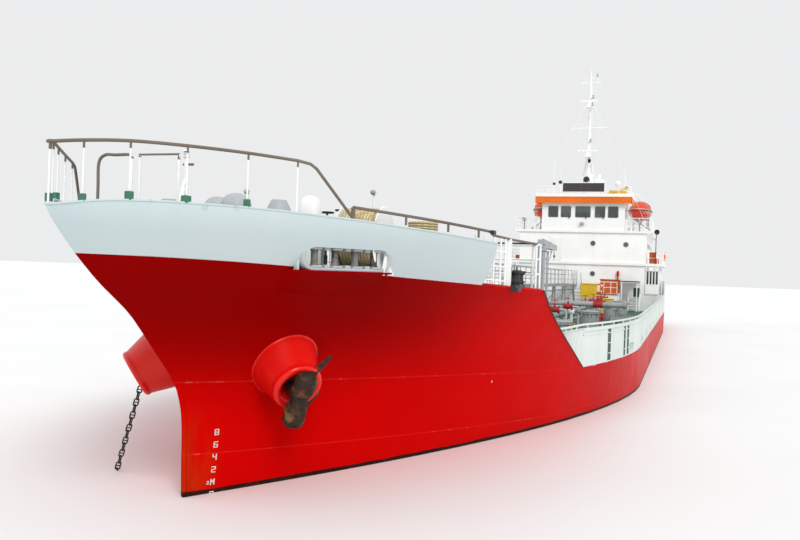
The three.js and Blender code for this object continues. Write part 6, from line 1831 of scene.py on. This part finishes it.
roof.lathe([(0, 0), (0.16, 0), (0.22, 0.1), (0.24, 0.22), (0.2, 0.36), (0.1, 0.44), (0, 0.46)],
           (-23.2, 2.5, 11.2))
roof.make("roof_rails_and_posts", WHITE, "house_white", smooth=45)
lights = Build()
lights.lathe([(0, -0.18), (0.12, -0.16), (0.2, -0.05), (0.23, 0.12), (0.24, 0.16), (0.2, 0.16), (0, 0.12)],
             (-22.2, 0.15, 11.64), (1, 0, 0.05), 26)
yoke = ((-0.06, 11.41), (-0.1, 11.62), (0.15, 11.9), (0.4, 11.62), (0.36, 11.41))
lights.tube([(-22.2, y, z) for y, z in yoke], 0.02)
lights.lathe([(0, -0.1), (0.12, -0.08), (0.15, 0), (0.12, 0.08), (0, 0.1)], (-23.6, -2.1, 11.6), AHEAD, 20)
lights.lathe([(0, -0.1), (0.1, -0.08), (0.12, 0), (0.1, 0.08), (0, 0.1)], (-23.9, -2.65, 11.5), AHEAD, 20)
lights.lathe([(0, 0), (0.08, 0), (0.1, 0.03), (0.1, 0.14), (0, 0.17)], (-22.6, 3.2, 10.98), sides=16)
lights.make("roof_lamps", BLACK, "roller_dark", smooth=40)
lockers = Build().boxes((-23.4, -22.5, 1.9, 2.3, 10.2, 10.85), (-22.4, -21.9, 2.45, 3.25, 10.2, 10.72),
                        (-24.9, -24.3, -3.3, -2.5, 10.2, 10.7))
lockers.tube([(-22.3, 1.75, 10.5), (-22.3, 3.3, 10.98)], 0.09, 12)
lockers.make("roof_lockers", YELLOW, "safety_orange", smooth=40, bevel=0.012)
repaint(WHITE, "wheelhouse", "wheelhouse_roof", *both("wheelhouse_door"))
repaint(HOUSE_PAINT, "house_tiers")

# Mast: finish, ladder, lamps, aerials and stays
MAST_X = -24.4
repaint(WHITE, "radar_mast")
rig = Build()
for z in (13.9, 17.0):
    rig.tube([(MAST_X - 0.02, -0.12, z), (MAST_X - 0.02, 0.12, z)], 0.02, 6)
for k in range(33):
    x, w, z = lerp(MAST_X - 0.3, MAST_X - 0.22, k / 32), lerp(0.17, 0.13, k / 32), 10.5 + 0.28 * k
    rig.tube([(x, -w, z), (x, w, z)], 0.01, 6)
for side in SIDES:
    rig.tube([(MAST_X - 0.3, side * 0.17, 10.2), (MAST_X - 0.22, side * 0.13, 19.6)], 0.016, 6)
    for z in (11.2, 13.0, 15.0, 17.2, 19.2):
        rig.tube([(MAST_X - 0.26, side * 0.15, z), (MAST_X, side * 0.06, z)], 0.012, 6)
    for z, half in ((16.1, 1.5), (19.8, 0.8)):
        rig.tube([(MAST_X, side * half * 0.95, z), (MAST_X, 0, z + 0.55)], 0.01, 6)
        for share in (0.45, 0.75, 0.97):
            at = (MAST_X, side * half * share, z - 0.1)
            rig.disc(at, 0.03, 0, 0.05, sides=10)
            rig.tube([at, (MAST_X + 0.1, side * half * share * 1.15, 10.6)], 0.004, 4)
    for z, x, y in ((19.0, -32.1, 3.5), (18.6, -21.8, 5.0)):
        rig.tube([(MAST_X, side * 0.02, z), (x, side * y, 7.7)], 0.008, 5)
for x, y, low, high in ((MAST_X, 0, 20.35, 21.0), (-23.6, -2.05, 10.2, 12.9), (-25.5, 2.9, 10.2, 13.4),
                        (-25.5, -2.9, 10.2, 13.4)):
    rig.poles([(x, y)], low, high, [0.03, 0.012])
for y, high in ((-0.5, 20.5), (0.55, 20.6)):
    rig.poles([(MAST_X, y)], 19.8, high, 0.014, 6)
rig.make("mast_rigging", WHITE, "house_white", smooth=50)
LANTERN_FOOT = [(0, -0.1), (0.07, -0.1), (0.075, -0.08), (0.07, -0.06), (0, -0.06)]
LANTERN_HEAD = [(0, 0.07), (0.07, 0.07), (0.075, 0.09), (0.05, 0.12), (0, 0.13)]
lanterns = Build()
for x, y, z in ((MAST_X + 0.28, 0.15, 15.05), (MAST_X + 0.28, 0.2, 18.0), (MAST_X + 0.28, 0.25, 18.6),
                (MAST_X, 0.5, 20.42)):
    if x != MAST_X:
        lanterns.paint(0).tube([(MAST_X, 0, z - 0.1), (x, y, z - 0.1)], 0.02, 6)
    lanterns.paint(0).lathe(LANTERN_FOOT, (x, y, z), sides=18).lathe(LANTERN_HEAD, (x, y, z), sides=18)
    lanterns.paint(1).disc((x, y, z), 0.07, -0.06, 0.07, sides=18)
horn = [(0, -0.2), (0.04, -0.18), (0.05, 0), (0.1, 0.14), (0.17, 0.22), (0.16, 0.23), (0, 0.08)]
lanterns.paint(0).lathe(horn, (MAST_X + 0.35, 0.1, 13.35), AHEAD, 20)
lanterns.make("mast_lanterns", [BLACK, LENS], "roller_dark", smooth=40)

# Radar scanners: turning head and a bar aerial with rounded ends
SCANNER_X = -23.35
for name, shelf, half in (("1", 13.6, 0.8), ("2", 17.6, 0.65)):
    z = shelf + 0.3414
    head = [(0, 0.002), (0.088, 0.002), (0.09, 0.02), (0.075, 0.06), (0.075, 0.07), (0, 0.075)]
    near_end = [(half, 0.55), (half - 0.01, 0.9), (half - 0.04, 1)]
    turning = Build().lathe(head, (SCANNER_X, 0, z))
    turning.loft([[(SCANNER_X + 0.08 * grow * rounded(math.cos(t), 0.6), y,
                    z + 0.13 + 0.07 * grow * rounded(math.sin(t), 0.6)) for t in turns(16)]
                  for y, grow in [(-y, grow) for y, grow in near_end] + near_end[::-1]])
    turning.make(f"scanner_{name}_bar", WHITE, "house_white", f"radar_scanner_{name}", f"scanner_{name}",
                 smooth=40)

# Funnel: painted casing, louvres, rungs and exhaust rings
repaint(HOUSE_PAINT, "funnel")
casing = Build()
for side in SIDES:
    for z in (9.1 + 0.13 * k for k in range(7)):
        casing.box(-30.1, -29.1, side * 0.93, side * 0.985, z, z + 0.06)
    casing.box(-29.9, -29.3, side * 0.93, side * 0.99, 7.75, 8.85)
for z in (8.0 + 0.3 * k for k in range(14)):
    off = -28.12 - 0.0477 * (z - 8)
    casing.tube([(-28.24, -0.2, z), (off, -0.2, z), (off, 0.2, z), (-28.24, 0.2, z)], 0.014, 6)
casing.make("funnel_fittings", WHITE, "house_white", smooth=40, bevel=0.004)
stacks = Build()
for y in (-0.35, 0.35):
    stacks.lathe([(0.145, 0), (0.165, 0), (0.165, 0.04), (0.145, 0.04)], (-29.85, y, 12.5), sides=20)
stacks.make("exhaust_rings", BLACK, "roller_dark", smooth=40)

# Lifeboats: lower hull, belt, canopy with windows and a steering bubble, lines and release hooks
BOAT_AT = Vector((-28.6, 4.0, 9.62))
BOAT_HALF_LONG, BOAT_HALF_WIDE, CANOPY_HIGH, BOAT_DEEP = 2.4, 0.92, 0.85, 0.78
PAINT_HULL, PAINT_LINE, PAINT_CANOPY, PAINT_BELT, PAINT_GLASS, PAINT_METAL = range(6)
CRADLE_Z, CRADLE_SLOPE = 8.55, math.tan(math.radians(35))


def boat_row(share, wider=1.0):
    """One level of the boat at a share of its height over the belt, or of its depth below."""
    shrink = math.sqrt(1 - share * share)
    return [BOAT_AT + Vector((BOAT_HALF_LONG * shrink * math.cos(t),
                              BOAT_HALF_WIDE * wider * rounded(shrink * math.sin(t), 0.8),
                              share * (CANOPY_HIGH if share > 0 else BOAT_DEEP))) for t in turns(66)]


def lifeboat():
    boat = Build()
    for paint, shares in ((PAINT_HULL, (-0.999, -0.97, -0.9, -0.78, -0.62, -0.45, -0.25, -0.05)),
                          (PAINT_LINE, (-0.05, 0.02, 0.1)),
                          (PAINT_CANOPY, (0.1, 0.25, 0.42, 0.58, 0.72, 0.84, 0.93, 0.98, 0.999))):
        boat.paint(paint).grid([boat_row(s) for s in shares], closed=True)
    for end in (-0.999, 0.999):
        boat.add(boat_row(end), [tuple(range(66))])
    belt = boat_row(0.0, 1.06)
    boat.paint(PAINT_BELT).tube(belt, 0.045, closed=True)
    boat.paint(PAINT_LINE)
    for k in range(2, 35, 3):
        middle = (belt[k] + belt[k + 3]) / 2
        boat.tube(curve([belt[k], (middle.x, middle.y + 0.01, BOAT_AT.z - 0.28), belt[k + 3]], 3), 0.009, 5)
    bubble = [(0, 0), (0.3, 0), (0.32, 0.1), (0.26, 0.24), (0.14, 0.31), (0, 0.32)]
    boat.paint(PAINT_HULL).lathe(bubble, BOAT_AT + Vector((-1.1, 0, 0.66)))
    boat.paint(PAINT_GLASS).block(BOAT_AT - X * 0.815, 0.03, 0.32, 0.76, 0.88)
    for x, z in ((-1.35, 0.42), (-0.8, 0.46), (-0.25, 0.48), (0.35, 0.47), (0.9, 0.44)):
        shrink = math.sqrt(1 - (z / CANOPY_HIGH) ** 2 - (x / BOAT_HALF_LONG) ** 2)
        boat.lathe([(0, -0.02), (0.1, -0.02), (0.1, 0.012), (0, 0.015)],
                   BOAT_AT + Vector((x, BOAT_HALF_WIDE * shrink ** 0.8, z)), (0, 0.85, 0.5), 16)
    boat.paint(PAINT_METAL)
    for dx in (-1.75, 1.75):
        hook = ((1, 0.5), (1, 0.74), (0.97, 0.8), (0.94, 0.74))
        boat.tube([BOAT_AT + Vector((dx * share, 0, up)) for share, up in hook], 0.022)
    # cradle: two sloping runners with posts under the boat
    for x in (BOAT_AT.x - 1.5, BOAT_AT.x + 1.5):
        z0, z1 = (CRADLE_Z + (4 - y) * CRADLE_SLOPE for y in (3.42, 4.95))
        boat.prism([(3.42, z0 + 0.02), (4.95, z1 + 0.02), (4.95, z1 + 0.11), (3.42, z0 + 0.11)], x - 0.055, x
                   + 0.055, "x")
        for y, top in ((4.0, -0.45), (4.65, -0.15)):
            boat.poles([(x, y)], CRADLE_Z + (4 - y) * CRADLE_SLOPE + 0.1, BOAT_AT.z + top, 0.05, 10)
    return boat


for side, name in NAMED_SIDES:
    node = f"{name}_lifeboat"
    lifeboat().on_side(side).make(f"{name}_enclosed_boat", [BOAT_RED, WHITE, BOAT_ORANGE, BLACK, GLASS, GREY],
                                  "safety_orange", node, node, smooth=45)
repaint(WHITE, *both("davit"))
falls = Build()
for x in (BOAT_AT.x - 1.5, BOAT_AT.x + 1.5):
    falls.tube([(x, y, z) for y, z in ((3.38, 8.95), (3.38, 10.4), (3.45, 10.7), (3.7, 10.9), (3.95, 10.92))],
               0.06, 12)
    falls.disc((x, 3.95, 10.86), 0.1, -0.04, 0.04, AHEAD, 18)
    falls.tube([(x, 3.38, 9.6), (x, 3.3, BOAT_DECK_Z + 0.05)], 0.035, 10)
falls.lathe([(0, -0.3), (0.14, -0.3), (0.14, -0.26), (0.1, -0.25), (0.1, 0.25), (0.14, 0.26), (0.14, 0.3),
             (0, 0.3)],
            (BOAT_AT.x, 3.1, 8.1), AHEAD, 20)
falls.box(BOAT_AT.x - 0.25, BOAT_AT.x + 0.25, 2.98, 3.22, BOAT_DECK_Z, 8.0)
falls.mirror().make("davit_heads", WHITE, "house_white", smooth=45)

# Poop: finish, bitts, winch, fairleads and stern gear
WINCH_X, WINCH_Z = -34.4, POOP_Z + 0.55
repaint(POOP_WHITE, "poop")
poop = Build()
for side in SIDES:
    bollards(poop, -34.6, side * 3.9, POOP_Z, 0.34, 0.12, 0.5)
    bollards(poop, -29.6, side * 5.55, POOP_Z, 0.3, 0.1, 0.42)
    poop.prism([(-34.85, POOP_Z), (-33.95, POOP_Z), (-34.25, POOP_Z + 0.7), (-34.55, POOP_Z + 0.7)],
               side * 1.1 - 0.05, side * 1.1 + 0.05, "y")
poop.lathe([(0, -0.9), (0.34, -0.9), (0.36, -0.88), (0.36, -0.84), (0.2, -0.82), (0.2, 0.82), (0.36, 0.84),
            (0.36, 0.88), (0.34, 0.9), (0, 0.9)], (WINCH_X, 0, WINCH_Z), TO_PORT, 28)
poop.box(-34.8, -34.0, -1.75, -1.15, POOP_Z, POOP_Z + 0.8)
poop.make("poop_bitts_and_winch", BLACK, "deck_grey", bevel=0.006)
stern = Build()
for k in range(9):
    stern.hoop((WINCH_X, -0.66 + 0.165 * k, WINCH_Z), 0.24, 0.05, X, Z, 24, 8)
stern.make("stern_rope", ROPE, "roller_dark", smooth=60)
staff = Build().tube([(-36.5, 0, POOP_Z), (-36.9, 0, POOP_Z + 2.6)], [0.035, 0.02], 12)
staff.lathe([(0, 0), (0.05, 0), (0.05, 0.03), (0, 0.04)], (-36.9, 0, POOP_Z + 2.59), sides=12)
staff.poles([(-36.2, 1.2)], POOP_Z, POOP_Z + 1.6, 0.03)
staff.make("ensign_staff", WHITE, "house_white", smooth=45)
repaint(RED_IRON, "rudder")
repaint(BRONZE, "propeller")
anodes = Build()
for side in SIDES:
    for z in (-1.1, -1.7, -2.3):
        anodes.box(-33.6, -33.25, side * 0.085, side * 0.125, z - 0.05, z + 0.05)
anodes.make("rudder_anodes", STEEL, "bronze", body="rudder", bevel=0.01)


def lit(data, name, place=None):
    """Puts a lamp or camera into the scene."""
    obj = bpy.data.objects.new(name, data)
    if place:
        obj.matrix_world = place
    bpy.context.scene.collection.objects.link(obj)
    return obj


def stage_and_camera():
    """Pale floor at the waterline, soft light, and the camera low off the port bow."""
    reach = 400
    mesh = bpy.data.meshes.new("floor")
    mesh.from_pydata([(-reach, -reach, 0), (reach, -reach, 0), (reach, reach, 0), (-reach, reach, 0)], [],
                     [(0, 1, 2, 3)])
    f = Finish("floor_pale", 0.55)
    mesh.materials.append(f.done(f.mix(f.ramp(f.noise(0.2, 3), 0.3, 0.7), (0.82, 0.825, 0.83),
                                       (0.85, 0.855, 0.86))))
    lit(mesh, "floor")

    world = bpy.data.worlds.new("studio")
    world.use_nodes = True
    sky = world.node_tree.nodes["Background"].inputs
    sky["Color"].default_value = (0.985, 0.99, 1, 1)
    sky["Strength"].default_value = 0.85
    bpy.context.scene.world = world
    for name, strength, angle, direction, color in (("key", 1.65, 25, (-0.62, -0.45, -0.62), (1, 0.98, 0.94)),
                                                    ("fill", 0.35, 60, (-0.3, 0.8, -0.5), (0.94, 0.97, 1))):
        lamp = bpy.data.lights.new(name, "SUN")
        lamp.energy = strength
        lamp.angle = math.radians(angle)
        lamp.color = color
        lit(lamp, name, Vector(direction).to_track_quat("-Z", "Y").to_matrix().to_4x4())

    # the photo's view: its middle column looks aft and to starboard, with a slight roll and rise
    focus, wide = 850, 800
    heading, roll, lift = math.atan2(285, focus), math.radians(2.0), math.radians(0.081)
    forward = Vector((-math.cos(heading) * math.cos(lift), -math.sin(heading) * math.cos(lift),
                      math.sin(lift)))
    right = Vector((-math.sin(heading), math.cos(heading), 0))
    up = right.cross(forward)
    turned = right * math.cos(roll) + up * math.sin(roll)
    data = bpy.data.cameras.new("camera")
    data.sensor_width = 36
    data.lens = 36 * focus / wide
    data.clip_end = 1000
    place = axes(turned, up * math.cos(roll) - right * math.sin(roll), -forward,
                 Vector((46.23, 7.78, 3.88)) * K)
    bpy.context.scene.camera = lit(data, "camera", place)
    bpy.context.scene.view_settings.view_transform = "Standard"


stage_and_camera()
